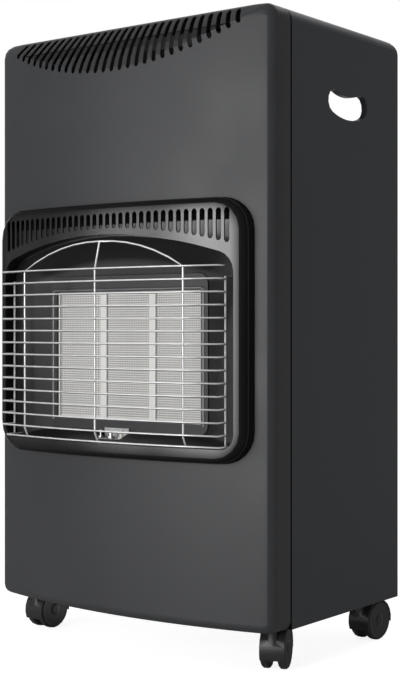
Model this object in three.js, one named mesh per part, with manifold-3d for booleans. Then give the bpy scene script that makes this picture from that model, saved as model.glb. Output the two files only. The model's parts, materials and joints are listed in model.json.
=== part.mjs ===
// Portable gas cabinet heater: bowed steel front with a fan of louvres, moulded
// surround with a wire guard over a three-plaque ceramic burner, rear cylinder
// compartment with a lift-off cover, and four swivelling twin-wheel castors.
//
// Millimetres, +Z up, the front faces -Y. While the pieces are made, z = 0 is the
// cabinet's bottom edge and y = 0 is the seam between front and side panels. The
// whole heater is then stood on the floor and centred on its own footprint.

import * as THREE from 'three';
import { mergeVertices } from 'three/addons/utils/BufferGeometryUtils.js';
import Module from 'manifold-3d';

// ---------------------------------------------------------------- sizes

// Cabinet
const cabinetWidth = 420;
const cabinetHeight = 698;
const bodyDepth = 242;
const floorClearance = 51;
const halfWidth = cabinetWidth / 2;
const sheet = 1.2;
const gap = 0.3;
const beyond = 5;
const seamGap = 0.6;
const flangeWidth = 12;
const rearFlangeWidth = 15;
const topEdgeRadius = 17;
const rearEdgeRadius = 18;
const topSeamInset = 19;
const rearHeaderHeight = 38;

// Bowed front
const frontBulge = 65;
const bowRadius = 788;
const frontCornerRadius = 15;
const panelDrop = 1;
const panelFootRoll = 11;
const panelFootFlange = 5;
const browFootHeight = cabinetHeight - 66.4;
const browFootRadius = 60;
const browLean = THREE.MathUtils.degToRad(21.5);
const browRadius = 125;
const browFilletRadius = 12;

// Fan of louvres
const louvreCount = 29;
const louvreWidth = 6;
const louvreSideMargin = 38.3;
const louvreArcRadius = 411;
const louvreSpread = Math.asin((halfWidth - louvreSideMargin) / louvreArcRadius);
const louvrePitch = (2 * louvreSpread) / (louvreCount - 1);
const louvreLowest = cabinetHeight - 60;
const louvreTopMargin = 3.5;

// Moulded surround, placed from the cabinet's top
const surroundHalfWidth = halfWidth - 21;
const surroundHeight = 296.2;
const surroundTop = cabinetHeight - 215.4;
const surroundBottom = surroundTop - surroundHeight;
const surroundCornerRadius = 36;
const surroundWall = 2;
const surroundLipRise = 10;
const surroundFaceRise = 18;
const surroundShoulder = 5.5;
const surroundLedge = 1.2;
const surroundDepth = 9;
const surroundFit = 0.6;
const windowHalfWidth = surroundHalfWidth - 13;
const windowBottom = surroundBottom + 16.6;
const windowTop = surroundTop - 36.6;
const windowArchRadius = 550;
const windowShoulderRadius = 24;
const windowCornerRadius = 16;
const ventCount = 35;
const ventSideMargin = 20.7;
const ventPitch = (2 * (surroundHalfWidth - ventSideMargin)) / (ventCount - 1);
const ventWidth = 6.4;
const ventTopMargin = 12;
const ventLowest = windowTop + 6.4;
const ventArcRadius = 690;

// Wire guard
const wireRadius = 1.2;
const weldDepth = 0.12;
const guardRise = 30;
const guardWireCount = 14;
const guardLowestWire = windowBottom + 15.6;
const guardHighestWire = windowTop - 39.9;
const guardWirePitch = (guardHighestWire - guardLowestWire) / (guardWireCount - 1);
const guardHalfWidth = windowHalfWidth - 11;
const guardLegInset = 2;
const guardSideRise = 12;
const guardFootRise = 24.5;
const guardFootZ = guardLowestWire - 13;
const guardHookZ = guardHighestWire - guardWirePitch * 0.8;
const guardUprightX = 122;
const guardCrownZ = windowTop - 8;
const guardCrownRise = 19.8;
const guardCrownFullness = 2.2;
const guardHookReach = 9;

// Burner, set from the foot of the surround's window
const burnerFrontY = -38;
const burnerBottom = windowBottom + 12;
const burnerCornerRadius = 12;
const burnerFrameDepth = 16;
const burnerRecess = 3.5;
const burnerMargin = { side: 13, foot: 15, head: 22, return: 3 };
const plaqueCount = 3;
const plaqueWidth = 66;
const plaqueHeight = 148;
const plaqueThickness = 12;
const plaqueRib = 10;
const plaqueLap = 3;
const plaqueStep = plaqueWidth + plaqueRib;
const plaqueRow = plaqueCount * plaqueStep - plaqueRib;
const plaqueBottom = burnerBottom + burnerMargin.foot;
const plaqueTop = plaqueBottom + plaqueHeight;
const burnerTop = plaqueTop + burnerMargin.head;
const burnerHalfWidth = plaqueRow / 2 + burnerMargin.side;
const plenumDepth = 30;
const plenumWall = 1.5;
const venturiRadius = 9;
const venturiLength = 46;
const injectorRadius = 4;
const injectorLength = 12;
const railRadius = 6;
const pipeRadius = 4;

// Pilot group, in a cut-out of the reflector's floor
const pilotX = -13;
const pilotY = burnerFrontY - 12;
const pilotSpacing = 16;
const pilotBracketHalf = 19;
const pilotShelfReach = 18;
const pilotShelfZ = burnerBottom - 9.5;
const pilotUprightTop = burnerBottom + 3;
const pilotFoot = burnerBottom - 17;
const pilotHead = burnerBottom + 1;
const pilotStations = [
  { x: pilotX - pilotSpacing, radius: 1.6 },
  { x: pilotX, radius: 3.2 },
  { x: pilotX + pilotSpacing, radius: 2.4 },
];

// Heat shield and rear cover
const shieldY = 32;
const coverHeight = cabinetHeight - 178;
const coverFold = 9;
const coverGrip = { width: 96, height: 26, drop: 34 };
const coverVentCount = 9;
const coverVentPitch = 36;
const coverVentHeight = 60;
const coverVentWidth = 9;
const coverVentBase = 46;

// Base tray
const baseLift = 0.3;
const baseRim = 16;
const baseVentRows = 3;
const baseVentLength = 60;
const baseVentWidth = 8;

// Hand holes
const handHoleY = bodyDepth / 2 + 1.6;
const handHoleZ = cabinetHeight - 100.2;
const handHoleHalfWidth = 44.3;
const handHoleHeight = 27.5;
const handHoleRadius = 88;
const handHoleCollar = 8;

// Controls
const controlX = halfWidth - 106;
const controlY = bodyDepth - 146;
const recessHalfWidth = 74;
const recessHalfDepth = 40;
const recessDepth = 26;
const recessCornerRadius = 14;
const controlPlateThickness = 2;
const knobX = controlX - 32;
const knobRadius = 23;
const knobHeight = 17;
const knobSkirt = 5;
const knobGripHalf = 4.5;
const knobLift = 5;
const knobStroke = 3;
const spindleRadius = 4;
const buttonX = controlX + 36;
const buttonRadius = 9;
const buttonStroke = 6;
const buttonHeight = 9;
const buttonStemRadius = 5.6;
const igniterRadius = 12;
const igniterLength = 44;
const valveWidth = 44;
const valveDepth = 34;
const valveHeight = 46;
const nozzleRadius = 5;
const nozzleLength = 30;
const pipeBendRadius = 9;
const pipeDrop = { fromValve: 22, toShield: 80 };

// Castors
const castorX = halfWidth - 26;
const castorFrontY = 2;
const castorRearY = bodyDepth - 44.6;
const castorTrail = 18;
const castorYaw = { front_left: -2, front_right: 22, rear_left: 3, rear_right: -4 };
const wheelRadius = 24;
const wheelWidth = 9;
const wheelSpacing = 11;
const hoodRadius = 25.7;
const hoodWall = 1.3;
const hoodToe = THREE.MathUtils.degToRad(-25);
const hoodHeel = THREE.MathUtils.degToRad(190);
const axleRadius = 3;
const stemRadius = 4.5;
const socketRadius = 10;
const socketHeight = 22;

// ---------------------------------------------------------------- materials

const paint = (color, roughness, metalness) => {
  return new THREE.MeshStandardMaterial({ color, roughness, metalness });
};
const panelPaint = paint(0x4c4d4f, 0.55, 0.25);
const sidePaint = paint(0x3f4143, 0.6, 0.2);
const mouldedBlack = paint(0x141516, 0.25, 0.0);
const chrome = paint(0xd8d9da, 0.2, 1.0);
const reflector = paint(0x303234, 0.35, 0.7);
const burnerSteel = paint(0x7b7d7f, 0.45, 0.8);
const ceramic = paint(0xc9c8c4, 0.9, 0.0);
const zincSteel = paint(0x9a9da0, 0.45, 0.8);
const brass = paint(0xb08d57, 0.35, 0.9);
const copper = paint(0xa8684a, 0.4, 0.9);
const whiteInsulator = paint(0xe8e6e0, 0.4, 0.0);
const castorBlack = paint(0x1b1c1d, 0.5, 0.0);
const knobBlack = paint(0x202122, 0.4, 0.0);
const buttonRed = paint(0x8c1f1b, 0.4, 0.0);

// ---------------------------------------------------------------- solids

const wasm = await Module();
wasm.setup();

function solid(geometry) {
  const bare = geometry.clone();
  bare.deleteAttribute('normal');
  bare.deleteAttribute('uv');
  const merged = mergeVertices(bare, 1e-4);
  const vertProperties = new Float32Array(merged.attributes.position.array);
  const triVerts = new Uint32Array(merged.index.array);
  return new wasm.Manifold(new wasm.Mesh({ numProp: 3, vertProperties, triVerts }));
}

function shapeOf(manifold) {
  const mesh = manifold.getMesh();
  const geometry = new THREE.BufferGeometry();
  geometry.setAttribute('position', new THREE.BufferAttribute(mesh.vertProperties, 3));
  geometry.setIndex(new THREE.BufferAttribute(mesh.triVerts, 1));
  geometry.computeVertexNormals();
  return geometry;
}

function joined(parts) {
  return parts.reduce((whole, part) => whole.add(part));
}

function cut(body, tools) {
  return body.subtract(joined(tools));
}

function common(parts) {
  return parts.reduce((whole, part) => whole.intersect(part));
}

// A flat outline [a, b] pushed along one axis between two stations.
function prism(points, axis, from, to) {
  const outline = new THREE.Shape(points.map(([a, b]) => new THREE.Vector2(a, b)));
  const geometry = new THREE.ExtrudeGeometry(outline, { depth: to - from, bevelEnabled: false });
  const basis = new THREE.Matrix4();
  if (axis === 'x') {
    basis.makeBasis(unit(0, 1, 0), unit(0, 0, 1), unit(1, 0, 0));
    basis.setPosition(from, 0, 0);
  } else if (axis === 'y') {
    basis.makeBasis(unit(1, 0, 0), unit(0, 0, 1), unit(0, -1, 0));
    basis.setPosition(0, to, 0);
  } else {
    basis.setPosition(0, 0, from);
  }
  geometry.applyMatrix4(basis);
  return solid(geometry);
}

function unit(x, y, z) {
  return new THREE.Vector3(x, y, z);
}

function block(x0, x1, y0, y1, z0, z1) {
  const geometry = new THREE.BoxGeometry(x1 - x0, y1 - y0, z1 - z0);
  geometry.translate((x0 + x1) / 2, (y0 + y1) / 2, (z0 + z1) / 2);
  return solid(geometry);
}

// A round bar or disc about an axis through (x, y, z), reaching `length` along it.
function bar(radius, length, axis, x, y, z, sides = 16, endRadius = radius) {
  const geometry = new THREE.CylinderGeometry(endRadius, radius, length, sides);
  geometry.translate(0, length / 2, 0);
  if (axis === 'z') {
    geometry.rotateX(Math.PI / 2);
  } else if (axis === 'x') {
    geometry.rotateZ(-Math.PI / 2);
  }
  geometry.translate(x, y, z);
  return solid(geometry);
}

// A profile [radius, height] that starts and ends on the axis or closes on itself.
function turned(profile, sides) {
  const points = profile.map(([r, h]) => new THREE.Vector2(r, h));
  return solid(new THREE.LatheGeometry(points, sides));
}

// A path of points whose stations stay where they are written.
class Route extends THREE.Curve {
  constructor(points) {
    super();
    this.points = points;
  }

  getPoint(t, target = new THREE.Vector3()) {
    const last = this.points.length - 1;
    const place = Math.min(Math.max(t, 0), 1) * last;
    const index = Math.min(Math.floor(place), last - 1);
    return target.lerpVectors(this.points[index], this.points[index + 1], place - index);
  }

  getUtoTmapping(u) {
    return u;
  }
}

function rod(points, radius, sides = 5) {
  const section = new THREE.Shape(arc(0, 0, radius, 0, 2 * Math.PI, sides).slice(0, -1));
  const route = new Route(points);
  const options = { steps: points.length - 1, bevelEnabled: false, extrudePath: route };
  return solid(new THREE.ExtrudeGeometry(section, options));
}

function arc(cx, cy, radius, from, to, steps) {
  const points = [];
  for (let i = 0; i <= steps; i += 1) {
    const angle = from + ((to - from) * i) / steps;
    points.push(new THREE.Vector2(cx + radius * Math.cos(angle), cy + radius * Math.sin(angle)));
  }
  return points;
}

// Rounds each inner point of a route with an arc of the given radius.
function rounded(points, radius, steps = 3) {
  const result = [points[0]];
  for (let i = 1; i < points.length - 1; i += 1) {
    const before = points[i - 1].clone().sub(points[i]).normalize();
    const after = points[i + 1].clone().sub(points[i]).normalize();
    const half = before.angleTo(after) / 2;
    const reach = radius / Math.tan(half);
    const centre = before.clone().add(after).normalize().multiplyScalar(radius / Math.sin(half));
    centre.add(points[i]);
    const start = points[i].clone().addScaledVector(before, reach).sub(centre);
    const end = points[i].clone().addScaledVector(after, reach).sub(centre);
    const sweep = start.angleTo(end);
    const axis = start.clone().cross(end).normalize();
    for (let k = 0; k <= steps; k += 1) {
      result.push(start.clone().applyAxisAngle(axis, (sweep * k) / steps).add(centre));
    }
  }
  result.push(points[points.length - 1]);
  return result;
}

// An outline with an arched (or straight) top, rounded shoulders and rounded foot
// corners, drawn in from its true edge by `inset`.
function archedOutline(form, inset = 0, steps = { top: 24, corner: 5 }) {
  const half = form.half - inset;
  const top = form.top - inset;
  const bottom = form.bottom + inset;
  const shoulder = Math.max(form.shoulder - inset, 0.2);
  const corner = form.corner > 0 ? Math.max(form.corner - inset, 0.2) : 0;
  const arched = Number.isFinite(form.radius);
  const radius = form.radius - inset;
  const centreX = half - shoulder;
  const spread = arched ? Math.asin(centreX / (radius - shoulder)) : 0;
  const centreZ = arched ? top - radius + (radius - shoulder) * Math.cos(spread) : top - shoulder;
  const quarter = Math.PI / 2;
  const right = arc(centreX, centreZ, shoulder, 0, quarter - spread, steps.corner);
  const left = arc(-centreX, centreZ, shoulder, quarter + spread, Math.PI, steps.corner);
  const crown = [];
  for (let i = 1; i < steps.top; i += 1) {
    const share = 1 - (2 * i) / steps.top;
    if (arched) {
      const angle = spread * share;
      crown.push({ x: radius * Math.sin(angle), y: top - radius + radius * Math.cos(angle) });
    } else {
      crown.push({ x: centreX * share, y: top });
    }
  }
  const foot = [];
  if (corner > 0) {
    const inner = half - corner;
    foot.push(...arc(-inner, bottom + corner, corner, Math.PI, 3 * quarter, steps.corner));
    for (let i = 1; i < steps.top; i += 1) {
      foot.push({ x: inner * ((2 * i) / steps.top - 1), y: bottom });
    }
    foot.push(...arc(inner, bottom + corner, corner, 3 * quarter, 4 * quarter, steps.corner));
  } else {
    foot.push({ x: -half, y: bottom }, { x: half, y: bottom });
  }
  return [...right, ...crown, ...left, ...foot].map((point) => [point.x, point.y]);
}

// Faces between matching rings; each ring is a loop of THREE.Vector3.
function bandsBetween(rings, bandCount) {
  const count = rings[0].length;
  const index = [];
  for (let r = 0; r < bandCount; r += 1) {
    const next = ((r + 1) % rings.length) * count;
    for (let i = 0; i < count; i += 1) {
      const a = r * count + i;
      const b = r * count + ((i + 1) % count);
      const c = next + i;
      const d = next + ((i + 1) % count);
      index.push(a, c, b, b, c, d);
    }
  }
  return index;
}

// A solid from a closed skin, turned inside out if its faces point inwards.
function skinned(rings, index) {
  const geometry = new THREE.BufferGeometry().setFromPoints(rings.flat());
  geometry.setIndex(index);
  const made = solid(geometry);
  if (made.volume() > 0) {
    return made;
  }
  const flipped = [];
  for (let i = 0; i < index.length; i += 3) {
    flipped.push(index[i], index[i + 2], index[i + 1]);
  }
  geometry.setIndex(flipped);
  return solid(geometry);
}

// A closed tube of matching rings, the last joined to the first.
function ringed(rings) {
  return skinned(rings, bandsBetween(rings, rings.length));
}

// A solid through matching level rings, closed by a flat cap at each end.
function lofted(rings) {
  const contour = rings[0].map((point) => new THREE.Vector2(point.x, point.y));
  const caps = THREE.ShapeUtils.triangulateShape(contour, []);
  const index = bandsBetween(rings, rings.length - 1);
  const top = (rings.length - 1) * contour.length;
  const clockwise = THREE.ShapeUtils.isClockWise(contour);
  caps.forEach(([a, b, c]) => {
    const [foot, head] = clockwise ? [[a, c, b], [a, b, c]] : [[a, b, c], [a, c, b]];
    index.push(...foot, ...head.map((corner) => top + corner));
  });
  return skinned(rings, index);
}

const heater = new THREE.Group();
const cabinet = new THREE.Group();
heater.add(cabinet);

function place(name, manifold, material, parent = cabinet) {
  const piece = new THREE.Mesh(shapeOf(manifold), material);
  piece.name = name;
  parent.add(piece);
  return piece;
}

// ---------------------------------------------------------------- cabinet forms

const innerHalfWidth = halfWidth - sheet;
const innerTop = cabinetHeight - sheet;
const baseFloor = sheet + baseLift;

// How far the bowed front surface falls back at x from its foremost line.
const bow = (x) => (x * x) / (2 * bowRadius);

// A point standing `rise` in front of the bowed panel surface.
const proud = (x, rise, z) => unit(x, -frontBulge - rise + bow(x), z);

function planOutline(inset, back, steps = { top: 16, corner: 4 }) {
  const form = {
    half: halfWidth,
    top: frontBulge,
    radius: bowRadius,
    shoulder: frontCornerRadius,
    bottom: -back - inset,
    corner: 0,
  };
  return archedOutline(form, inset, steps).map(([x, y]) => [x, -y]);
}

function frontOutline(inset, foot) {
  const form = {
    half: halfWidth,
    top: cabinetHeight,
    radius: Infinity,
    shoulder: topEdgeRadius,
    bottom: foot - inset,
    corner: 0,
  };
  return archedOutline(form, inset, { top: 2, corner: 5 });
}

// Side view of the leaning brow that carries the louvres.
function browOutline(inset) {
  const foot = { y: -frontBulge + browFootRadius, z: browFootHeight };
  const step = browRadius - browFootRadius;
  const brow = {
    y: foot.y + step * Math.cos(browLean),
    z: foot.z - step * Math.sin(browLean),
  };
  const filletZ = cabinetHeight - browFilletRadius;
  const filletStep = browRadius - browFilletRadius;
  const crownAngle = Math.asin((filletZ - brow.z) / filletStep);
  const filletY = brow.y - filletStep * Math.cos(crownAngle);
  const leaning = (cy, cz, radius, from, to, steps) => {
    return arc(0, 0, radius - inset, from, to, steps).map((p) => [cy - p.x, cz + p.y]);
  };
  return [
    [cabinetHeight, -cabinetHeight],
    [-frontBulge + inset, -cabinetHeight],
    ...leaning(foot.y, foot.z, browFootRadius, 0, browLean, 2),
    ...leaning(brow.y, brow.z, browRadius, browLean, crownAngle, 4).slice(1),
    ...leaning(filletY, filletZ, browFilletRadius, crownAngle, Math.PI / 2, 3).slice(1),
    [cabinetHeight, cabinetHeight - inset],
  ];
}

// Side view of the rear body with its rounded top rear edge.
function rearOutline(inset, front, foot) {
  const radius = rearEdgeRadius - inset;
  const cy = bodyDepth - rearEdgeRadius;
  const cz = cabinetHeight - rearEdgeRadius;
  const corner = arc(cy, cz, radius, 0, Math.PI / 2, 5).map((p) => [p.x, p.y]);
  return [
    [front, foot],
    [bodyDepth - inset, foot],
    ...corner,
    [front, cabinetHeight - inset],
  ];
}

const surroundForm = {
  half: surroundHalfWidth,
  top: surroundTop,
  radius: Infinity,
  shoulder: surroundCornerRadius,
  bottom: surroundBottom,
  corner: surroundCornerRadius,
};

const windowForm = {
  half: windowHalfWidth,
  top: windowTop,
  radius: windowArchRadius,
  shoulder: windowShoulderRadius,
  bottom: windowBottom,
  corner: windowCornerRadius,
};

const lateral = [-1, 1];

// ---------------------------------------------------------------- front panel

const louvreCentre = louvreLowest + louvreArcRadius;

// One upright louvre, leaning towards the centre of the fan.
function louvre(index) {
  const angle = (index - (louvreCount - 1) / 2) * louvrePitch;
  const end = louvreWidth / 2;
  const from = louvreArcRadius - end;
  const top = cabinetHeight - louvreTopMargin;
  const to = (louvreCentre - top + end) / Math.cos(angle);
  const lower = arc(0, -from, end, Math.PI, 2 * Math.PI, 3);
  const upper = arc(0, -to, end, 0, Math.PI, 3);
  const lean = ({ x, y }) => [
    -x * Math.cos(angle) - y * Math.sin(angle),
    louvreCentre - x * Math.sin(angle) + y * Math.cos(angle),
  ];
  const outline = [...lower, ...upper].map(lean);
  return prism(outline, 'y', -frontBulge - beyond, -sheet);
}

// The panel's bowed body, drawn in by rolled edges at its foot and its head.
function panelBody(inset, back, rollSteps) {
  const footRoll = panelFootRoll - inset;
  const headRoll = topEdgeRadius - inset;
  const turns = Array.from({ length: rollSteps + 1 }, (_, k) => (Math.PI / 2) * (k / rollSteps));
  const level = (drawn, z) => planOutline(inset + drawn, back).map(([x, y]) => unit(x, y, z));
  const foot = turns.map((turn) => {
    const z = inset - panelDrop + footRoll * (1 - Math.cos(turn));
    return level(footRoll * (1 - Math.sin(turn)), z);
  });
  const head = turns.map((turn) => {
    const z = cabinetHeight - inset - headRoll * (1 - Math.sin(turn));
    return level(headRoll * (1 - Math.cos(turn)), z);
  });
  return lofted([...foot, ...head]);
}

function makeFrontPanel() {
  const outer = common([
    panelBody(0, 0, 4),
    prism(browOutline(0), 'x', -halfWidth - beyond, halfWidth + beyond),
  ]);
  const inner = common([
    panelBody(sheet, beyond, 2),
    prism(browOutline(sheet), 'x', -halfWidth, halfWidth),
  ]);
  const footOpening = planOutline(panelFootRoll + panelFootFlange, beyond);
  const footHole = prism(footOpening, 'z', -beyond, beyond);
  const window = archedOutline(surroundForm, -surroundFit, { top: 2, corner: 6 });
  const windowHole = prism(window, 'y', -frontBulge - beyond, 0);
  const fan = [];
  for (let i = 0; i < louvreCount; i += 1) {
    fan.push(louvre(i));
  }
  return cut(outer, [inner, footHole, windowHole, joined(fan)]);
}

place('front_panel', makeFrontPanel(), panelPaint);

// ---------------------------------------------------------------- rear body

function bodyBox(inset, front, back) {
  return common([
    prism(frontOutline(inset, inset), 'y', front, back),
    prism(rearOutline(inset, front - beyond, -beyond), 'x', -halfWidth, halfWidth),
  ]);
}

const bodyFront = seamGap;
const rearOpeningTop = cabinetHeight - rearHeaderHeight;
const rearOpeningHalf = halfWidth - rearFlangeWidth;

// The three body sheets are cut from one folded shell.
function makeBodyShell() {
  const outer = bodyBox(0, bodyFront, bodyDepth);
  const inner = bodyBox(sheet, bodyFront + sheet, bodyDepth);
  const frontHole = prism(frontOutline(flangeWidth, flangeWidth), 'y', -beyond, beyond);
  const rearHole = block(
    -rearOpeningHalf,
    rearOpeningHalf,
    bodyDepth - rearEdgeRadius,
    bodyDepth + beyond,
    flangeWidth,
    rearOpeningTop,
  );
  const footHole = block(
    -halfWidth + flangeWidth,
    halfWidth - flangeWidth,
    -beyond,
    bodyDepth - flangeWidth,
    -beyond,
    beyond,
  );
  const trayNotch = block(
    -halfWidth + flangeWidth,
    halfWidth - flangeWidth,
    -beyond,
    bodyFront + sheet + gap,
    sheet,
    baseFloor + baseRim + gap,
  );
  return cut(outer, [inner, frontHole, rearHole, footHole, trayNotch]);
}

// A smiling slot for the hand: two arcs about one centre, closed by round ends.
function handHole(grow) {
  const low = handHoleRadius + handHoleHeight / 2 + grow;
  const high = handHoleRadius - handHoleHeight / 2 - grow;
  const end = handHoleHeight / 2 + grow;
  const spread = Math.asin((handHoleHalfWidth - handHoleHeight / 2) / handHoleRadius);
  const down = -Math.PI / 2;
  const cz = handHoleZ + handHoleRadius;
  const tip = (side) => ({
    y: handHoleY + side * handHoleRadius * Math.sin(spread),
    z: cz - handHoleRadius * Math.cos(spread),
  });
  const far = tip(1);
  const near = tip(-1);
  return [
    ...arc(handHoleY, cz, low, down - spread, down + spread, 8),
    ...arc(far.y, far.z, end, down + spread, down + spread + Math.PI, 6).slice(1),
    ...arc(handHoleY, cz, high, down + spread, down - spread, 8).slice(1),
    ...arc(near.y, near.z, end, Math.PI / 2 - spread, Math.PI / 2 - spread + Math.PI, 6).slice(1, -1),
  ].map((p) => [p.x, p.y]);
}

const bodyShell = makeBodyShell();
const topSeam = halfWidth - topSeamInset;

function makeSidePanel(side) {
  const near = side * topSeam;
  const far = side * (halfWidth + beyond);
  const [x0, x1] = [Math.min(near, far), Math.max(near, far)];
  const half = block(x0, x1, -beyond, bodyDepth + beyond, -beyond, cabinetHeight + beyond);
  const lip = side * (halfWidth - handHoleCollar);
  const skin = side * innerHalfWidth;
  const collar = prism(handHole(sheet), 'x', Math.min(lip, skin), Math.max(lip, skin));
  const joinedCollar = bodyShell.intersect(half).add(collar);
  return joinedCollar.subtract(prism(handHole(0), 'x', x0, x1));
}

place('side_panel_left', makeSidePanel(-1), sidePaint);
place('side_panel_right', makeSidePanel(1), sidePaint);

// Top sheet with a pressed recess for the controls.
const recessForm = {
  half: recessHalfWidth,
  top: recessHalfDepth,
  radius: Infinity,
  shoulder: recessCornerRadius,
  bottom: -recessHalfDepth,
  corner: recessCornerRadius,
};
const recessFloor = cabinetHeight - recessDepth;

function recessOutline(inset) {
  const steps = { top: 2, corner: 4 };
  return archedOutline(recessForm, inset, steps).map(([x, y]) => [x + controlX, y + controlY]);
}

function makeTopPanel() {
  const reach = topSeam - gap;
  const band = block(
    -reach,
    reach,
    -beyond,
    bodyDepth + beyond,
    rearOpeningTop - beyond,
    cabinetHeight + beyond,
  );
  const tray = prism(recessOutline(-sheet), 'z', recessFloor - sheet, cabinetHeight - sheet / 2);
  const hollow = prism(recessOutline(0), 'z', recessFloor, cabinetHeight + beyond);
  const below = recessFloor - beyond;
  const spindleHole = bar(spindleRadius * 2, beyond * 2, 'z', knobX, controlY, below);
  const buttonHole = bar(buttonRadius, beyond * 2, 'z', buttonX, controlY, below);
  return cut(bodyShell.intersect(band).add(tray), [hollow, spindleHole, buttonHole]);
}

place('top_panel', makeTopPanel(), sidePaint);

// ---------------------------------------------------------------- base tray

const trayWideFrom = bodyFront + sheet + gap;
const trayBack = bodyDepth - sheet - gap;
const trayHalf = innerHalfWidth - gap;

// Narrow inside the front panel's rolled foot, full width behind the body's front flange.
function trayBody(inset, low, high) {
  const lap = trayWideFrom + sheet / 2 + 2 * inset;
  const front = prism(planOutline(panelFootRoll + sheet + gap + inset, lap), 'z', low, high);
  const wide = block(
    -trayHalf + inset,
    trayHalf - inset,
    trayWideFrom + inset,
    trayBack - inset,
    low,
    high,
  );
  return front.add(wide);
}

const castors = [
  { name: 'front_left', x: -castorX, y: castorFrontY },
  { name: 'front_right', x: castorX, y: castorFrontY },
  { name: 'rear_left', x: -castorX, y: castorRearY },
  { name: 'rear_right', x: castorX, y: castorRearY },
];

function makeBaseTray() {
  const body = trayBody(0, baseFloor, baseFloor + baseRim);
  const floor = baseFloor + sheet;
  const hollow = trayBody(sheet, floor, baseFloor + baseRim + beyond);
  const rearCut = block(
    -rearOpeningHalf - gap,
    rearOpeningHalf + gap,
    bodyDepth - sheet - gap - coverFold,
    bodyDepth,
    floor,
    baseFloor + baseRim + beyond,
  );
  const cuts = [hollow, rearCut];
  for (let row = 0; row < baseVentRows; row += 1) {
    const y = castorFrontY + ((castorRearY - castorFrontY) * (row + 1)) / (baseVentRows + 1);
    lateral.forEach((side) => {
      const x = (side * castorX) / 2;
      cuts.push(block(
        x - baseVentLength / 2,
        x + baseVentLength / 2,
        y - baseVentWidth / 2,
        y + baseVentWidth / 2,
        0,
        beyond,
      ));
    });
  }
  castors.forEach(({ x, y }) => {
    cuts.push(bar(socketRadius - gap, beyond, 'z', x, y, 0, 20));
  });
  return cut(body, cuts);
}

place('base_tray', makeBaseTray(), zincSteel);

// ---------------------------------------------------------------- heat shield

const shieldFlangeY = trayWideFrom;

function makeHeatShield() {
  const out = innerHalfWidth - gap;
  const wall = innerHalfWidth - flangeWidth - sheet;
  const back = shieldY;
  const front = shieldFlangeY;
  const outline = [
    [-out, front],
    [-wall, front],
    [-wall, back - sheet],
    [wall, back - sheet],
    [wall, front],
    [out, front],
    [out, front + sheet],
    [wall + sheet, front + sheet],
    [wall + sheet, back],
    [-wall - sheet, back],
    [-wall - sheet, front + sheet],
    [-out, front + sheet],
  ];
  const low = baseFloor + baseRim + gap;
  const high = innerTop - topEdgeRadius - gap;
  const body = prism(outline, 'z', low, high);
  const pipeHole = bar(pipeRadius + 2, back, 'y', supplyX, 0, railZ, 12);
  return body.subtract(pipeHole);
}

// ---------------------------------------------------------------- surround

const archSteps = { top: 10, corner: 4 };

function surroundRing(form, inset, rise) {
  return archedOutline(form, inset, archSteps).map(([x, z]) => proud(x, rise, z));
}

// Quarter-round shoulder rings between the lip and the raised face.
function shoulderRings(inset, drop, steps) {
  const rings = [];
  for (let i = 0; i <= steps; i += 1) {
    const turn = (Math.PI / 2) * (i / steps);
    const across = surroundShoulder * (1 - Math.cos(turn));
    const up = (surroundFaceRise - surroundLipRise) * Math.sin(turn);
    rings.push(surroundRing(surroundForm, inset + across, surroundLipRise + up - drop));
  }
  return rings;
}

function vent(index) {
  const x = (index - (ventCount - 1) / 2) * ventPitch;
  const half = ventWidth / 2;
  const fall = ventArcRadius - Math.sqrt(ventArcRadius * ventArcRadius - x * x);
  const top = surroundTop - ventTopMargin - half;
  const low = ventLowest - fall + half;
  const outline = [
    ...arc(x, top, half, 0, Math.PI, 3),
    ...arc(x, low, half, Math.PI, 2 * Math.PI, 3),
  ].map((p) => [p.x, p.y]);
  return prism(outline, 'y', -frontBulge - surroundFaceRise - beyond, -beyond);
}

function makeSurround() {
  const wall = surroundWall;
  const skin = ringed([
    surroundRing(surroundForm, 0, -surroundDepth),
    surroundRing(surroundForm, 0, surroundLipRise),
    ...shoulderRings(surroundLedge, 0, 3),
    surroundRing(windowForm, 0, surroundFaceRise),
    surroundRing(windowForm, 0, 0),
    surroundRing(windowForm, -wall, 0),
    surroundRing(windowForm, -wall, surroundFaceRise - wall),
    ...shoulderRings(surroundLedge + wall, wall, 1).reverse(),
    surroundRing(surroundForm, wall, surroundLipRise - wall),
    surroundRing(surroundForm, wall, -surroundDepth),
  ]);
  const vents = [];
  for (let i = 0; i < ventCount; i += 1) {
    vents.push(vent(i));
  }
  return cut(skin, vents);
}

place('surround', makeSurround(), mouldedBlack);

// ---------------------------------------------------------------- wire guard

// A bowed wire across the window with a leg turned back at each end.
function guardBar(half, rise, z, legRise) {
  const steps = 6;
  const points = [];
  for (let i = 0; i <= steps; i += 1) {
    points.push(proud(half * ((2 * i) / steps - 1), rise, z));
  }
  const leg = (side) => proud(side * guardSideX, legRise, z);
  return rod([leg(-1), ...points, leg(1)], wireRadius, guardSides);
}

const guardSides = 6;
const guardSideX = guardHalfWidth - guardLegInset;

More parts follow.
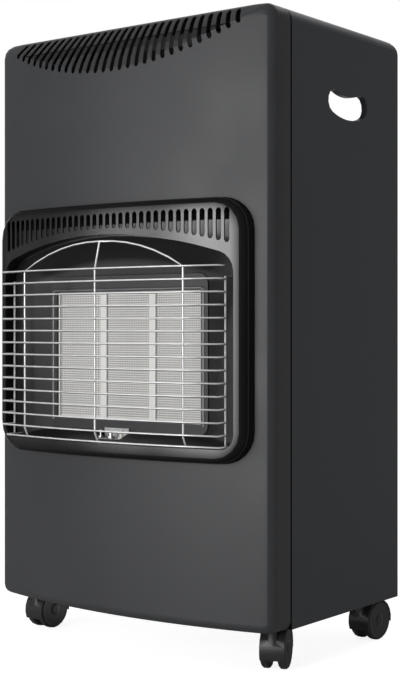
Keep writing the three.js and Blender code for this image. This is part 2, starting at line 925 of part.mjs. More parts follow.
// Cross wires in front, welded to three uprights; the outer two run over as one hoop.
function makeGuard() {
  const weld = 2 * wireRadius * Math.cos(Math.PI / guardSides) - weldDepth;
  const legRise = guardSideRise + wireRadius - weldDepth;
  const parts = [];
  for (let i = 0; i < guardWireCount; i += 1) {
    const z = guardLowestWire + i * guardWirePitch;
    parts.push(guardBar(guardHalfWidth, guardRise, z, legRise));
  }
  parts.push(guardBar(guardSideX, guardFootRise, guardFootZ, -guardHookReach));
  lateral.forEach((side) => {
    const x = side * guardSideX;
    const path = [
      proud(x, -guardHookReach, guardHookZ),
      proud(x, guardSideRise, guardHookZ),
      proud(x, guardSideRise, guardFootZ + wireRadius - weldDepth),
    ];
    parts.push(rod(path, wireRadius, guardSides));
  });
  const behind = guardRise - weld;
  const foot = (x) => [
    proud(x, guardFootRise - weld, guardFootZ - wireRadius),
    proud(x, behind, guardLowestWire - 2 * wireRadius),
  ];
  const crownPoint = (share) => {
    const lift = 1 - Math.abs(share) ** guardCrownFullness;
    const rise = behind + (guardCrownRise - behind) * lift;
    const z = guardHighestWire + (guardCrownZ - guardHighestWire) * lift;
    return proud(guardUprightX * share, rise, z);
  };
  const crownSteps = 12;
  const crown = [];
  for (let k = 0; k <= crownSteps; k += 1) {
    crown.push(crownPoint((2 * k) / crownSteps - 1));
  }
  const middle = [...foot(0), proud(0, behind, guardHighestWire), crownPoint(0)];
  const hoop = [...foot(-guardUprightX), ...crown, ...foot(guardUprightX).reverse()];
  parts.push(rod(middle, wireRadius, guardSides));
  parts.push(rod(hoop, wireRadius, guardSides));
  return joined(parts);
}

place('wire_guard', makeGuard(), chrome);

// ---------------------------------------------------------------- burner

const burnerForm = {
  half: burnerHalfWidth,
  top: burnerTop,
  radius: Infinity,
  shoulder: burnerCornerRadius,
  bottom: burnerBottom,
  corner: burnerCornerRadius,
};

// The reflector's flange lies behind the surround and shows through its vents.
const reflectorInset = surroundWall + 2 * gap;
const reflectorFlange = {
  half: surroundHalfWidth - reflectorInset,
  top: surroundTop - ventTopMargin - reflectorInset,
  radius: Infinity,
  shoulder: surroundCornerRadius - reflectorInset,
  bottom: surroundBottom + reflectorInset,
  corner: surroundCornerRadius - reflectorInset,
};

// A flange behind the surround, tapering in to the burner frame.
function makeReflector() {
  const bowed = (form, inset, rise) => {
    return archedOutline(form, inset, archSteps).map(([x, z]) => proud(x, rise, z));
  };
  const narrow = (y) => archedOutline(burnerForm, -gap, archSteps).map(([x, z]) => unit(x, y, z));
  const funnel = ringed([
    bowed(reflectorFlange, 0, -gap),
    bowed(windowForm, sheet, -gap),
    narrow(burnerFrontY + sheet),
    narrow(burnerFrontY + 2 * sheet),
    bowed(windowForm, 0, -gap - sheet),
    bowed(reflectorFlange, 0, -gap - sheet),
  ]);
  const holes = [];
  lateral.forEach((side) => {
    [guardFootZ, guardHookZ].forEach((z) => {
      const x = side * guardSideX;
      holes.push(bar(wireRadius + gap, 2 * frontBulge, 'y', x, -frontBulge, z, 8));
    });
  });
  holes.push(block(
    pilotX - pilotBracketHalf - sheet,
    pilotX + pilotBracketHalf + sheet,
    pilotY - pilotShelfReach / 2,
    burnerFrontY + gap,
    pilotFoot,
    pilotShelfZ + 2 * beyond,
  ));
  return cut(funnel, holes);
}

function plaqueX(index) {
  return (index - (plaqueCount - 1) / 2) * plaqueStep;
}

// A pressed frame: a flat face, a return round its opening, and a back plate with
// one window a plaque.
function makeBurnerFrame() {
  const steps = { top: 2, corner: 4 };
  const rear = burnerFrontY + burnerFrameDepth;
  const plate = burnerFrontY + burnerRecess;
  const across = plaqueRow / 2 + burnerMargin.return;
  const low = plaqueBottom - burnerMargin.return;
  const high = plaqueTop + burnerMargin.return;
  const body = prism(archedOutline(burnerForm, 0, steps), 'y', burnerFrontY, rear);
  const hollow = prism(archedOutline(burnerForm, 2 * sheet, steps), 'y', burnerFrontY + sheet, rear + beyond);
  const pan = block(
    -across - sheet,
    across + sheet,
    burnerFrontY + sheet / 2,
    plate + sheet,
    low - sheet,
    high + sheet,
  );
  const cuts = [block(-across, across, burnerFrontY - beyond, plate, low, high)];
  for (let i = 0; i < plaqueCount; i += 1) {
    const x = plaqueX(i);
    const half = plaqueWidth / 2;
    cuts.push(block(x - half, x + half, plate - sheet, rear, plaqueBottom, plaqueTop));
  }
  return cut(cut(body, [hollow]).add(pan), cuts);
}

place('burner_frame', makeBurnerFrame(), burnerSteel);

const plaqueFront = burnerFrontY + burnerRecess + sheet + gap;
const plaqueBack = plaqueFront + plaqueThickness;
['left', 'middle', 'right'].forEach((label, i) => {
  const x = plaqueX(i);
  const half = plaqueWidth / 2 + plaqueLap;
  const tile = block(
    x - half,
    x + half,
    plaqueFront,
    plaqueBack,
    plaqueBottom - plaqueLap,
    plaqueTop + plaqueLap,
  );
  place(`ceramic_plaque_${label}`, tile, ceramic);
});

// Mixing boxes behind the plaques, each fed by its own upright venturi.
const plenumFront = plaqueBack + gap;
const plenumBack = plenumFront + plenumDepth;
const plenumY = (plenumFront + plenumBack) / 2;
const venturiFoot = plaqueBottom - plaqueLap - venturiLength;
const railZ = venturiFoot - injectorLength - railRadius + beyond;
const supplyX = plaqueX(plaqueCount - 1) + plaqueStep;

function makePlenum() {
  const half = plaqueX(plaqueCount - 1) + plaqueWidth / 2 + plaqueLap;
  const low = plaqueBottom - plaqueLap;
  const high = plaqueTop + plaqueLap;
  const parts = [block(-half, half, plenumFront, plenumBack, low, high)];
  const holes = [];
  for (let i = 0; i < plaqueCount; i += 1) {
    const x = plaqueX(i);
    const inner = plaqueWidth / 2;
    const y1 = plenumBack - plenumWall;
    holes.push(block(x - inner, x + inner, plenumFront - beyond, y1, plaqueBottom, plaqueTop));
    const bell = venturiRadius * 1.35;
    const neck = venturiLength * 0.75;
    const sides = 12;
    const bore = venturiRadius - plenumWall;
    const mouth = venturiLength - neck;
    parts.push(bar(venturiRadius, neck + 1, 'z', x, plenumY, low - neck, sides));
    parts.push(bar(bell, mouth, 'z', x, plenumY, venturiFoot, sides, venturiRadius));
    holes.push(bar(bore, neck + beyond, 'z', x, plenumY, low - neck, sides));
    holes.push(bar(bell - plenumWall, mouth, 'z', x, plenumY, venturiFoot, sides, bore));
  }
  return cut(joined(parts), holes);
}

place('burner_plenum', makePlenum(), zincSteel);

// Gas rail with one injector standing into each venturi.
function makeRail() {
  const half = plaqueX(plaqueCount - 1) + venturiRadius * 2;
  const parts = [bar(railRadius, 2 * half, 'x', -half, plenumY, railZ, 12)];
  const foot = railZ + railRadius * 0.7;
  for (let i = 0; i < plaqueCount; i += 1) {
    const tip = injectorRadius / 2;
    parts.push(bar(injectorRadius, injectorLength, 'z', plaqueX(i), plenumY, foot, 10, tip));
  }
  return joined(parts);
}

place('gas_rail', makeRail(), brass);

place('heat_shield', makeHeatShield(), zincSteel);

// ---------------------------------------------------------------- pilot group

const pilotBack = burnerFrontY - gap;

// An angle plate in front of the burner frame, with a shelf that the rods stand in.
function makePilotBracket() {
  const x0 = pilotX - pilotBracketHalf;
  const x1 = pilotX + pilotBracketHalf;
  const shelfTop = pilotShelfZ + sheet;
  const upright = block(x0, x1, pilotBack - sheet, pilotBack, pilotShelfZ, pilotUprightTop);
  const shelf = block(x0, x1, pilotBack - pilotShelfReach, pilotBack, pilotShelfZ, shelfTop);
  const holes = pilotStations.map(({ x, radius }) => {
    return bar(radius + gap, beyond * 2, 'z', x, pilotY, pilotShelfZ - beyond, 10);
  });
  return cut(joined([upright, shelf]), holes);
}

place('pilot_bracket', makePilotBracket(), zincSteel);
place('reflector', makeReflector(), reflector);

// A rod that hangs in its shelf by a collar.
function pilotRod({ x, radius }, head) {
  const seat = pilotShelfZ + sheet + gap;
  const collar = radius + 1.6;
  const neck = radius * 0.8;
  const profile = [
    [0, pilotFoot],
    [radius, pilotFoot],
    [radius, seat],
    [collar, seat],
    [collar, seat + 2],
    [neck, seat + 2],
    [neck, head],
    [0, head],
  ];
  return standing(turned(profile, 8), x, pilotY);
}

// Turns a piece made about the y axis upright and stands it at (x, y).
function standing(piece, x, y) {
  const geometry = shapeOf(piece);
  geometry.rotateX(Math.PI / 2);
  geometry.translate(x, y, 0);
  return solid(geometry);
}

place('thermocouple', pilotRod(pilotStations[0], pilotHead), copper);
place('pilot_burner', pilotRod(pilotStations[1], pilotHead - 2), brass);
place('spark_electrode', pilotRod(pilotStations[2], pilotHead + 1), whiteInsulator);

// ---------------------------------------------------------------- controls

const collarRadius = spindleRadius * 2 - 1 - gap;
const valveTop = recessFloor - sheet - gap;
const valveBottom = valveTop - valveHeight;
const spindleFoot = valveTop - valveHeight * 0.45;

function makeValve() {
  const body = block(
    knobX - valveWidth / 2,
    knobX + valveWidth / 2,
    controlY - valveDepth / 2,
    controlY + valveDepth / 2,
    valveBottom,
    valveTop - beyond,
  );
  const neck = bar(spindleRadius * 3, beyond + 1, 'z', knobX, controlY, valveTop - beyond - 1, 16);
  const boreFoot = spindleFoot - knobStroke - 2 * gap;
  const bore = bar(spindleRadius + gap, valveHeight, 'z', knobX, controlY, boreFoot);
  const seatFoot = valveTop - knobStroke - gap;
  const seat = bar(collarRadius + gap, beyond * 2, 'z', knobX, controlY, seatFoot, 20);
  return cut(joined([body, neck]), [bore, seat]);
}

place('gas_valve', makeValve(), zincSteel);

// Ribbed inlet nozzle for the gas hose, on the rear of the valve.
function makeNozzle() {
  const rib = 0.8;
  const flange = nozzleRadius * 1.6;
  const profile = [[0, 0], [flange, 0], [flange, 8], [nozzleRadius, 8]];
  for (let i = 0; i < 3; i += 1) {
    const at = 11 + i * 6;
    profile.push([nozzleRadius, at], [nozzleRadius + rib, at + 1], [nozzleRadius - rib, at + 4]);
  }
  profile.push([nozzleRadius - rib * 2, nozzleLength], [nozzleRadius / 2, nozzleLength]);
  profile.push([nozzleRadius / 2, 8], [0, 8]);
  const back = controlY + valveDepth / 2 + gap;
  return turned(profile, 10).translate([knobX, back, valveBottom + valveHeight * 0.4]);
}

place('hose_nozzle', makeNozzle(), brass);

// Supply pipe from the valve, down behind the shield and through it to the rail.
function makeSupplyPipe() {
  const railEnd = plaqueX(plaqueCount - 1) + venturiRadius * 2 + gap;
  const drop = shieldY + sheet + pipeRadius * 2;
  const path = [
    unit(knobX, controlY, valveBottom - gap),
    unit(knobX, controlY, valveBottom - pipeDrop.fromValve),
    unit(supplyX, drop, valveBottom - pipeDrop.toShield),
    unit(supplyX, drop, railZ),
    unit(supplyX, plenumY, railZ),
    unit(railEnd, plenumY, railZ),
  ];
  return rod(rounded(path, pipeBendRadius, 4), pipeRadius, 8);
}

place('supply_pipe', makeSupplyPipe(), copper);

const plateTop = recessFloor + controlPlateThickness;

function makeControlPlate() {
  const plate = prism(recessOutline(gap), 'z', recessFloor + gap, plateTop);
  const knobHole = bar(collarRadius + gap, beyond, 'z', knobX, controlY, recessFloor, 20);
  const buttonHole = bar(buttonRadius + gap, beyond, 'z', buttonX, controlY, recessFloor, 20);
  return cut(plate, [knobHole, buttonHole]);
}

place('control_plate', makeControlPlate(), knobBlack);

const knobFoot = plateTop + knobLift;

function makeSpindle() {
  const high = knobFoot + knobHeight * 0.7;
  const body = bar(spindleRadius, high - spindleFoot, 'z', knobX, controlY, spindleFoot, 16);
  const flat = block(
    knobX - spindleRadius,
    knobX + spindleRadius,
    controlY + spindleRadius * 0.6,
    controlY + spindleRadius * 2,
    knobFoot,
    high + beyond,
  );
  return body.subtract(flat);
}

place('valve_spindle', makeSpindle(), zincSteel);

// Spring collar under the knob: it sinks with the knob but doesn't turn.
function makeCollar() {
  const low = recessFloor - sheet;
  const body = bar(collarRadius, knobFoot - gap - low, 'z', knobX, controlY, low, 20);
  const bore = bar(spindleRadius + gap, cabinetHeight, 'z', knobX, controlY, 0, 16);
  return body.subtract(bore);
}

place('knob_collar', makeCollar(), whiteInsulator);

// A round skirt, a shallow dome and a bar grip between two scooped sides.
function makeKnob() {
  const low = knobFoot;
  const high = low + knobHeight;
  const domeRadius = knobRadius * 0.82;
  const topRadius = knobRadius * 0.76;
  const skirt = bar(knobRadius, knobSkirt, 'z', knobX, controlY, low, 32, knobRadius * 0.94);
  const dome = bar(domeRadius, high - low - knobSkirt / 2, 'z', knobX, controlY, low + knobSkirt / 2, 32, topRadius);
  const grip = block(
    knobX - knobGripHalf,
    knobX + knobGripHalf,
    controlY - knobRadius * 0.9,
    controlY + knobRadius * 0.72,
    low + 2,
    high,
  );
  const scoops = lateral.map((side) => {
    const x = knobX + side * (knobGripHalf + knobRadius + 0.5);
    return bar(knobRadius, cabinetHeight, 'z', x, controlY, low + knobSkirt + 1, 28);
  });
  const boreDepth = knobHeight * 0.75;
  const bore = bar(spindleRadius + gap, boreDepth + beyond, 'z', knobX, controlY, low - beyond, 16);
  return cut(dome, scoops).add(skirt).add(grip).subtract(bore);
}

place('control_knob', makeKnob(), knobBlack);

// Piezo igniter: a threaded body clamped in the recess floor, with a push button.
const buttonStemFoot = valveTop - 2 * beyond;

function makeIgniter() {
  const head = recessFloor + gap;
  const foot = valveTop - igniterLength;
  const barrel = igniterRadius * 0.7;
  const nut = valveTop - 6;
  const bore = buttonStemRadius + gap;
  const boreFoot = buttonStemFoot - buttonStroke - gap;
  const body = turned([
    [0, foot],
    [barrel, foot],
    [barrel, nut],
    [igniterRadius, nut],
    [igniterRadius, valveTop],
    [buttonRadius - 1, valveTop],
    [buttonRadius - 1, head],
    [bore, head],
    [bore, boreFoot],
    [0, boreFoot],
  ], 16);
  return standing(body, buttonX, controlY);
}

place('igniter_body', makeIgniter(), whiteInsulator);

function makeButton() {
  const capRadius = buttonRadius - 2 * gap;
  const capFoot = recessFloor + 2 * gap + buttonStroke + gap;
  const capTop = capFoot + buttonHeight;
  const crownFoot = capTop - 2;
  return standing(turned([
    [0, buttonStemFoot],
    [buttonStemRadius, buttonStemFoot],
    [buttonStemRadius, capFoot],
    [capRadius, capFoot],
    [capRadius, crownFoot],
    [capRadius - 1.4, capTop],
    [0, capTop],
  ], 24), buttonX, controlY);
}

place('igniter_button', makeButton(), buttonRed);

// ---------------------------------------------------------------- rear cover

// A folded pan between the rear flanges. It stands on the foot flange and pulls
// straight off backwards.
function makeRearCover() {
  const half = rearOpeningHalf - gap;
  const back = bodyDepth;
  const low = flangeWidth + gap;
  const high = low + coverHeight;
  const front = back - sheet;
  const pan = block(-half, half, front - coverFold, back, low, high);
  const hollow = block(
    -half + sheet,
    half - sheet,
    front - coverFold - beyond,
    front,
    low + sheet,
    high - sheet,
  );
  const cuts = [hollow];
  const gripTop = high - coverGrip.drop;
  const gripForm = {
    half: coverGrip.width / 2,
    top: gripTop,
    radius: Infinity,
    shoulder: coverGrip.height / 2 - 1,
    bottom: gripTop - coverGrip.height,
    corner: coverGrip.height / 2 - 1,
  };
  const grip = archedOutline(gripForm, 0, { top: 2, corner: 4 });
  cuts.push(prism(grip, 'y', front - beyond, back + beyond));
  for (let i = 0; i < coverVentCount; i += 1) {
    const x = (i - (coverVentCount - 1) / 2) * coverVentPitch;
    const z0 = low + coverVentBase;
    const w = coverVentWidth / 2;
    const outline = [
      ...arc(x, z0 + coverVentHeight, w, 0, Math.PI, 4),
      ...arc(x, z0, w, Math.PI, 2 * Math.PI, 4),
    ].map((p) => [p.x, p.y]);
    cuts.push(prism(outline, 'y', front - beyond, back + beyond));
  }
  return cut(pan, cuts);
}

place('rear_cover', makeRearCover(), sidePaint);

// ---------------------------------------------------------------- castors

const axleZ = wheelRadius - floorClearance;
const wheelInner = wheelSpacing / 2;
const wheelOuter = wheelInner + wheelWidth;
const spineHalf = wheelInner - gap;
const bossRadius = stemRadius + 2.5;
const bossFoot = -5;
const socketFoot = -0.4;
const stemFoot = axleZ + hoodRadius - 14;

// Twin wheels run beside a central spine, under one wrap-round hood. Local frame:
// the stem stands on the origin, the hood leads towards -y and the axle trails.
function makeHood() {
  const at = (radius, from, to, steps) => {
    return arc(0, 0, radius, from, to, steps).map((p) => [castorTrail - p.x, axleZ + p.y]);
  };
  const inside = hoodRadius - hoodWall;
  const wrap = [...at(hoodRadius, hoodToe, hoodHeel, 12), ...at(inside, hoodHeel, hoodToe, 12)];
  const shell = prism(wrap, 'x', -wheelOuter, wheelOuter);
  const spineFan = [...at(inside + hoodWall / 2, 0, Math.PI, 8), [castorTrail, axleZ]];
  const spine = prism(spineFan, 'x', -spineHalf, spineHalf);
  const hub = bar(axleRadius + 3, 2 * spineHalf, 'x', -spineHalf, castorTrail, axleZ, 12);
  const boss = bar(bossRadius, socketFoot - gap - bossFoot, 'z', 0, 0, bossFoot, 12);
  const web = block(-spineHalf, spineHalf, -bossRadius, castorTrail, axleZ, bossFoot + 1);
  const stemHole = bar(stemRadius + gap, cabinetHeight, 'z', 0, 0, stemFoot - gap, 12);
  const axleHole = bar(axleRadius + gap, 4 * wheelOuter, 'x', -2 * wheelOuter, castorTrail, axleZ, 12);
  return cut(joined([shell, spine, hub, boss, web.intersect(bossColumn())]), [stemHole, axleHole]);
}

function bossColumn() {
  return bar(bossRadius, floorClearance, 'z', 0, 0, -floorClearance, 12);
}

function makeWheel(side) {
  const rim = wheelRadius;
  const chamfer = 1.6;
  const profile = [
    [axleRadius + gap, 0],
    [rim - chamfer, 0],
    [rim, chamfer],
    [rim, wheelWidth - chamfer],
    [rim - chamfer, wheelWidth],
    [axleRadius + gap, wheelWidth],
    [axleRadius + gap, 0],
  ];
  const geometry = shapeOf(turned(profile, 20));
  geometry.rotateZ(-side * Math.PI / 2);
  geometry.translate(side * wheelInner, castorTrail, axleZ);
  return solid(geometry);
}

castors.forEach(({ name, x, y }) => {
  const flange = baseFloor + sheet + gap;
  const socket = turned([
    [stemRadius + gap, socketFoot],
    [socketRadius - 2 * gap, socketFoot],
    [socketRadius - 2 * gap, flange],
    [socketRadius + 2, flange],
    [socketRadius + 2, flange + 2],
    [socketRadius - 2, flange + 4],
    [socketRadius - 2, socketHeight],
    [stemRadius + gap, socketHeight],
    [stemRadius + gap, socketFoot],
  ], 12);
  place(`castor_socket_${name}`, standing(socket, x, y), zincSteel);
  const swivel = new THREE.Group();
  swivel.position.set(x, y, 0);
  swivel.rotation.z = THREE.MathUtils.degToRad(castorYaw[name]);
  cabinet.add(swivel);
  place(`castor_hood_${name}`, makeHood(), castorBlack, swivel);
  const stem = bar(stemRadius, socketHeight - 2 - stemFoot, 'z', 0, 0, stemFoot, 12);
  place(`castor_stem_${name}`, stem, zincSteel, swivel);
  const reach = wheelOuter - 1;
  const axle = bar(axleRadius, 2 * reach, 'x', -reach, castorTrail, axleZ, 12);
  place(`castor_axle_${name}`, axle, zincSteel, swivel);
  place(`castor_wheel_a_${name}`, makeWheel(-1), castorBlack, swivel);
  place(`castor_wheel_b_${name}`, makeWheel(1), castorBlack, swivel);
});

// ---------------------------------------------------------------- stand

const foremost = -frontBulge - guardRise - wireRadius;
cabinet.position.set(0, -(foremost + bodyDepth) / 2, floorClearance);

export default heater;
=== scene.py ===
# Looks for the portable gas cabinet heater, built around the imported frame.
# Metres, +Z up, the front faces -Y. The added pieces are drawn in millimetres and scaled by MM.
import json
import math

import bmesh
import bpy
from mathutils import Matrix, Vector


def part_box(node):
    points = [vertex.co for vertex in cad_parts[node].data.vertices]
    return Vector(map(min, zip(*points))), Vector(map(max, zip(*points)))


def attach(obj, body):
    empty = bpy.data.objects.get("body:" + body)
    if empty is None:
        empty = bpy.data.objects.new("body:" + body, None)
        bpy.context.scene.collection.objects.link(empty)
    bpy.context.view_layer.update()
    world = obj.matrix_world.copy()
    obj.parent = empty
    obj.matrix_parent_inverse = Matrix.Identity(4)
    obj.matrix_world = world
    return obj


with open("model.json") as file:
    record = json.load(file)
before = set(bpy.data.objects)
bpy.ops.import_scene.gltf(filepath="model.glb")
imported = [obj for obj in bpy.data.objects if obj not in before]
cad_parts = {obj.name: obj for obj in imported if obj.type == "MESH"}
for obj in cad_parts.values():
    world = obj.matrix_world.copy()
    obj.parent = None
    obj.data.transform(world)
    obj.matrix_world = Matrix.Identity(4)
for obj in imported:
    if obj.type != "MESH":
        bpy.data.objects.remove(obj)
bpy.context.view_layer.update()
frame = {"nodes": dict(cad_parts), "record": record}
scene = bpy.context.scene
nodes = frame["nodes"]

MM = 0.001
# The cabinet's own origin in mm: its foot, at the joint between front and side panels.
SEAM_Y = -72.9
FOOT_Z = 51.0
# The front's bow in mm: its radius, and how far its middle stands before the origin.
BOW_RADIUS = 788
BOW_FRONT = 65


# ---------------------------------------------------------------- camera and lamps

# The camera as solved from the cabinet's edges: places in metres, turns in degrees.
SENSOR = 36
FOCAL_PIXELS = 1368.74
PICTURE_HEIGHT = 674
VIEW_SHIFT = -0.0148
VIEW_PLACE = (1.056, -1.3504, 0.3895)
VIEW_TURN = 37.3265


def aim_camera():
    data = bpy.data.cameras.new("view")
    data.sensor_fit = "AUTO"
    data.sensor_width = SENSOR
    data.lens = SENSOR * FOCAL_PIXELS / PICTURE_HEIGHT
    data.shift_y = VIEW_SHIFT
    camera = bpy.data.objects.new("view", data)
    camera.location = VIEW_PLACE
    camera.rotation_euler = (math.radians(90), 0, math.radians(VIEW_TURN))
    scene.collection.objects.link(camera)
    scene.camera = camera


# Each lamp faces the heater's middle. Its size is width and height, its power watts.
LAMP_TARGET = Vector((0, 0, 0.4))
LAMPS = (
    # name, azimuth, elevation, distance, size, power, seen in reflections
    ("key", -3, 1, 2.4, (1.5, 1.35), 42, True),
    ("fade", -33, 3, 2.4, (0.5, 1.6), 8, True),
    ("top", 20, 68, 2.0, (1.4, 1.0), 8, False),
    ("side", 92, 4, 2.6, (1.2, 1.6), 9, False),
    ("back", 190, 30, 2.6, (1.4, 1.4), 9, True),
)


def softbox(name, azimuth, elevation, distance, size, power, reflected):
    """An area lamp; azimuth 0 is in front (-Y) and grows towards +X."""
    a, e = math.radians(azimuth), math.radians(elevation)
    away = Vector((math.sin(a) * math.cos(e), -math.cos(a) * math.cos(e), math.sin(e)))
    data = bpy.data.lights.new(name, "AREA")
    data.shape = "RECTANGLE"
    data.size, data.size_y = size
    data.energy = power
    light = bpy.data.objects.new(name, data)
    light.location = LAMP_TARGET + away * distance
    light.rotation_euler = (math.radians(90) - e, 0, a)
    light.visible_camera = False
    light.visible_glossy = reflected
    scene.collection.objects.link(light)


# ---------------------------------------------------------------- world and floor

WHITE = (1, 1, 1)
# The world's light on matt surfaces, and its strength in reflections beside the backdrop.
AMBIENT = 0.3
DIM_SIDE = 0.16
# Where the backdrop stands (an azimuth, as for the lamps), and the cosines over which it fades.
BACKDROP_AZIMUTH = -142
BACKDROP_FADE = (0.35, 0.9)
# The floor's half width, its plain grey, and the white that the camera sees on top of it.
FLOOR_REACH = 6
FLOOR_GREY = (0.5, 0.5, 0.5)
FLOOR_GLOW = 0.86


def feed(tree, socket, value):
    """Links a node's output to a socket, or sets a plain value or color on it."""
    if isinstance(value, bpy.types.NodeSocket):
        tree.links.new(value, socket)
    elif socket.type == "RGBA":
        socket.default_value = (*value, 1)
    else:
        socket.default_value = value


def math_node(tree, operation, a, b=0.0):
    node = tree.nodes.new("ShaderNodeMath")
    node.operation = operation
    feed(tree, node.inputs[0], a)
    feed(tree, node.inputs[1], b)
    return node.outputs[0]


def backdrop_view(tree, path, direction, dim):
    """1 for the camera and through glass; reflections see the backdrop, and dim beside it."""
    turn = math.radians(BACKDROP_AZIMUTH)
    facing = tree.nodes.new("ShaderNodeVectorMath")
    facing.operation = "DOT_PRODUCT"
    feed(tree, facing.inputs[0], direction)
    feed(tree, facing.inputs[1], (math.sin(turn), -math.cos(turn), 0))
    sector = tree.nodes.new("ShaderNodeMapRange")
    sector.interpolation_type = "SMOOTHSTEP"
    feed(tree, sector.inputs["Value"], facing.outputs["Value"])
    feed(tree, sector.inputs["From Min"], BACKDROP_FADE[0])
    feed(tree, sector.inputs["From Max"], BACKDROP_FADE[1])
    feed(tree, sector.inputs["To Min"], dim)
    feed(tree, sector.inputs["To Max"], 1.0)
    mirrored = math_node(tree, "MULTIPLY", path["Is Glossy Ray"], sector.outputs["Result"])
    direct = math_node(tree, "MAXIMUM", path["Is Camera Ray"], path["Is Transmission Ray"])
    return math_node(tree, "MAXIMUM", direct, mirrored)


def studio_world():
    """White to the camera and behind the object, dim beside it, faint light on matt faces."""
    scene.world = bpy.data.worlds.new("studio")
    scene.world.use_nodes = True
    tree = scene.world.node_tree
    back = tree.nodes["Background"].inputs
    path = tree.nodes.new("ShaderNodeLightPath").outputs
    direction = tree.nodes.new("ShaderNodeTexCoord").outputs["Generated"]
    shown = backdrop_view(tree, path, direction, DIM_SIDE)
    diffuse = math_node(tree, "MULTIPLY", path["Is Diffuse Ray"], AMBIENT)
    feed(tree, back["Color"], WHITE)
    feed(tree, back["Strength"], math_node(tree, "MAXIMUM", shown, diffuse))


def make_floor():
    """A pale floor that keeps the object's shadow and looks white where the world does."""
    material = bpy.data.materials.new("pale_floor")
    material.use_nodes = True
    tree = material.node_tree
    shader = tree.nodes["Principled BSDF"].inputs
    path = tree.nodes.new("ShaderNodeLightPath").outputs
    away = tree.nodes.new("ShaderNodeVectorMath")
    away.operation = "NORMALIZE"
    feed(tree, away.inputs[0], tree.nodes.new("ShaderNodeTexCoord").outputs["Object"])
    shown = backdrop_view(tree, path, away.outputs["Vector"], 0.0)
    feed(tree, shader["Base Color"], FLOOR_GREY)
    feed(tree, shader["Roughness"], 0.9)
    feed(tree, shader["Specular IOR Level"], 0.0)
    feed(tree, shader["Emission Color"], WHITE)
    feed(tree, shader["Emission Strength"], math_node(tree, "MULTIPLY", shown, FLOOR_GLOW))
    mesh = bpy.data.meshes.new("floor")
    r = FLOOR_REACH
    mesh.from_pydata([(-r, -r, 0), (r, -r, 0), (r, r, 0), (-r, r, 0)], [], [(0, 1, 2, 3)])
    mesh.materials.append(material)
    floor = bpy.data.objects.new("floor", mesh)
    scene.collection.objects.link(floor)


# ---------------------------------------------------------------- node materials

# A mix node's two value sockets and its output, by what it mixes.
MIX_SOCKETS = {"RGBA": (6, 7, 2), "VECTOR": (4, 5, 1)}
# The span that most values of a noise fill.
NOISE_SPAN = (0.3, 0.7)
# Faces within these cosines of the bow's own direction are shaded as part of it.
ON_BOW = (0.975, 0.99)
# A moulding's gloss is painted to roll off over this reach inside its rounded outline: a painted
# reflection, weaker near the edge and stronger inside, standing in for a rounded edge's fall-off.
OUTLINE_CORNER = 0.04
ROLL_REACH = (0.004, 0.0175)
ROLL_GLOSS = (0.12, 1.6)
# The dark line at the panels' joint: its half width, from full to none, and how far inside
# the cabinet's widest place it fades in.
SEAM_LINE = (0.0008, 0.0024)
SEAM_DEPTHS = (0.004, 0.002)


def mixed(color, factor):
    return tuple(min(1.0, c * factor) for c in color)


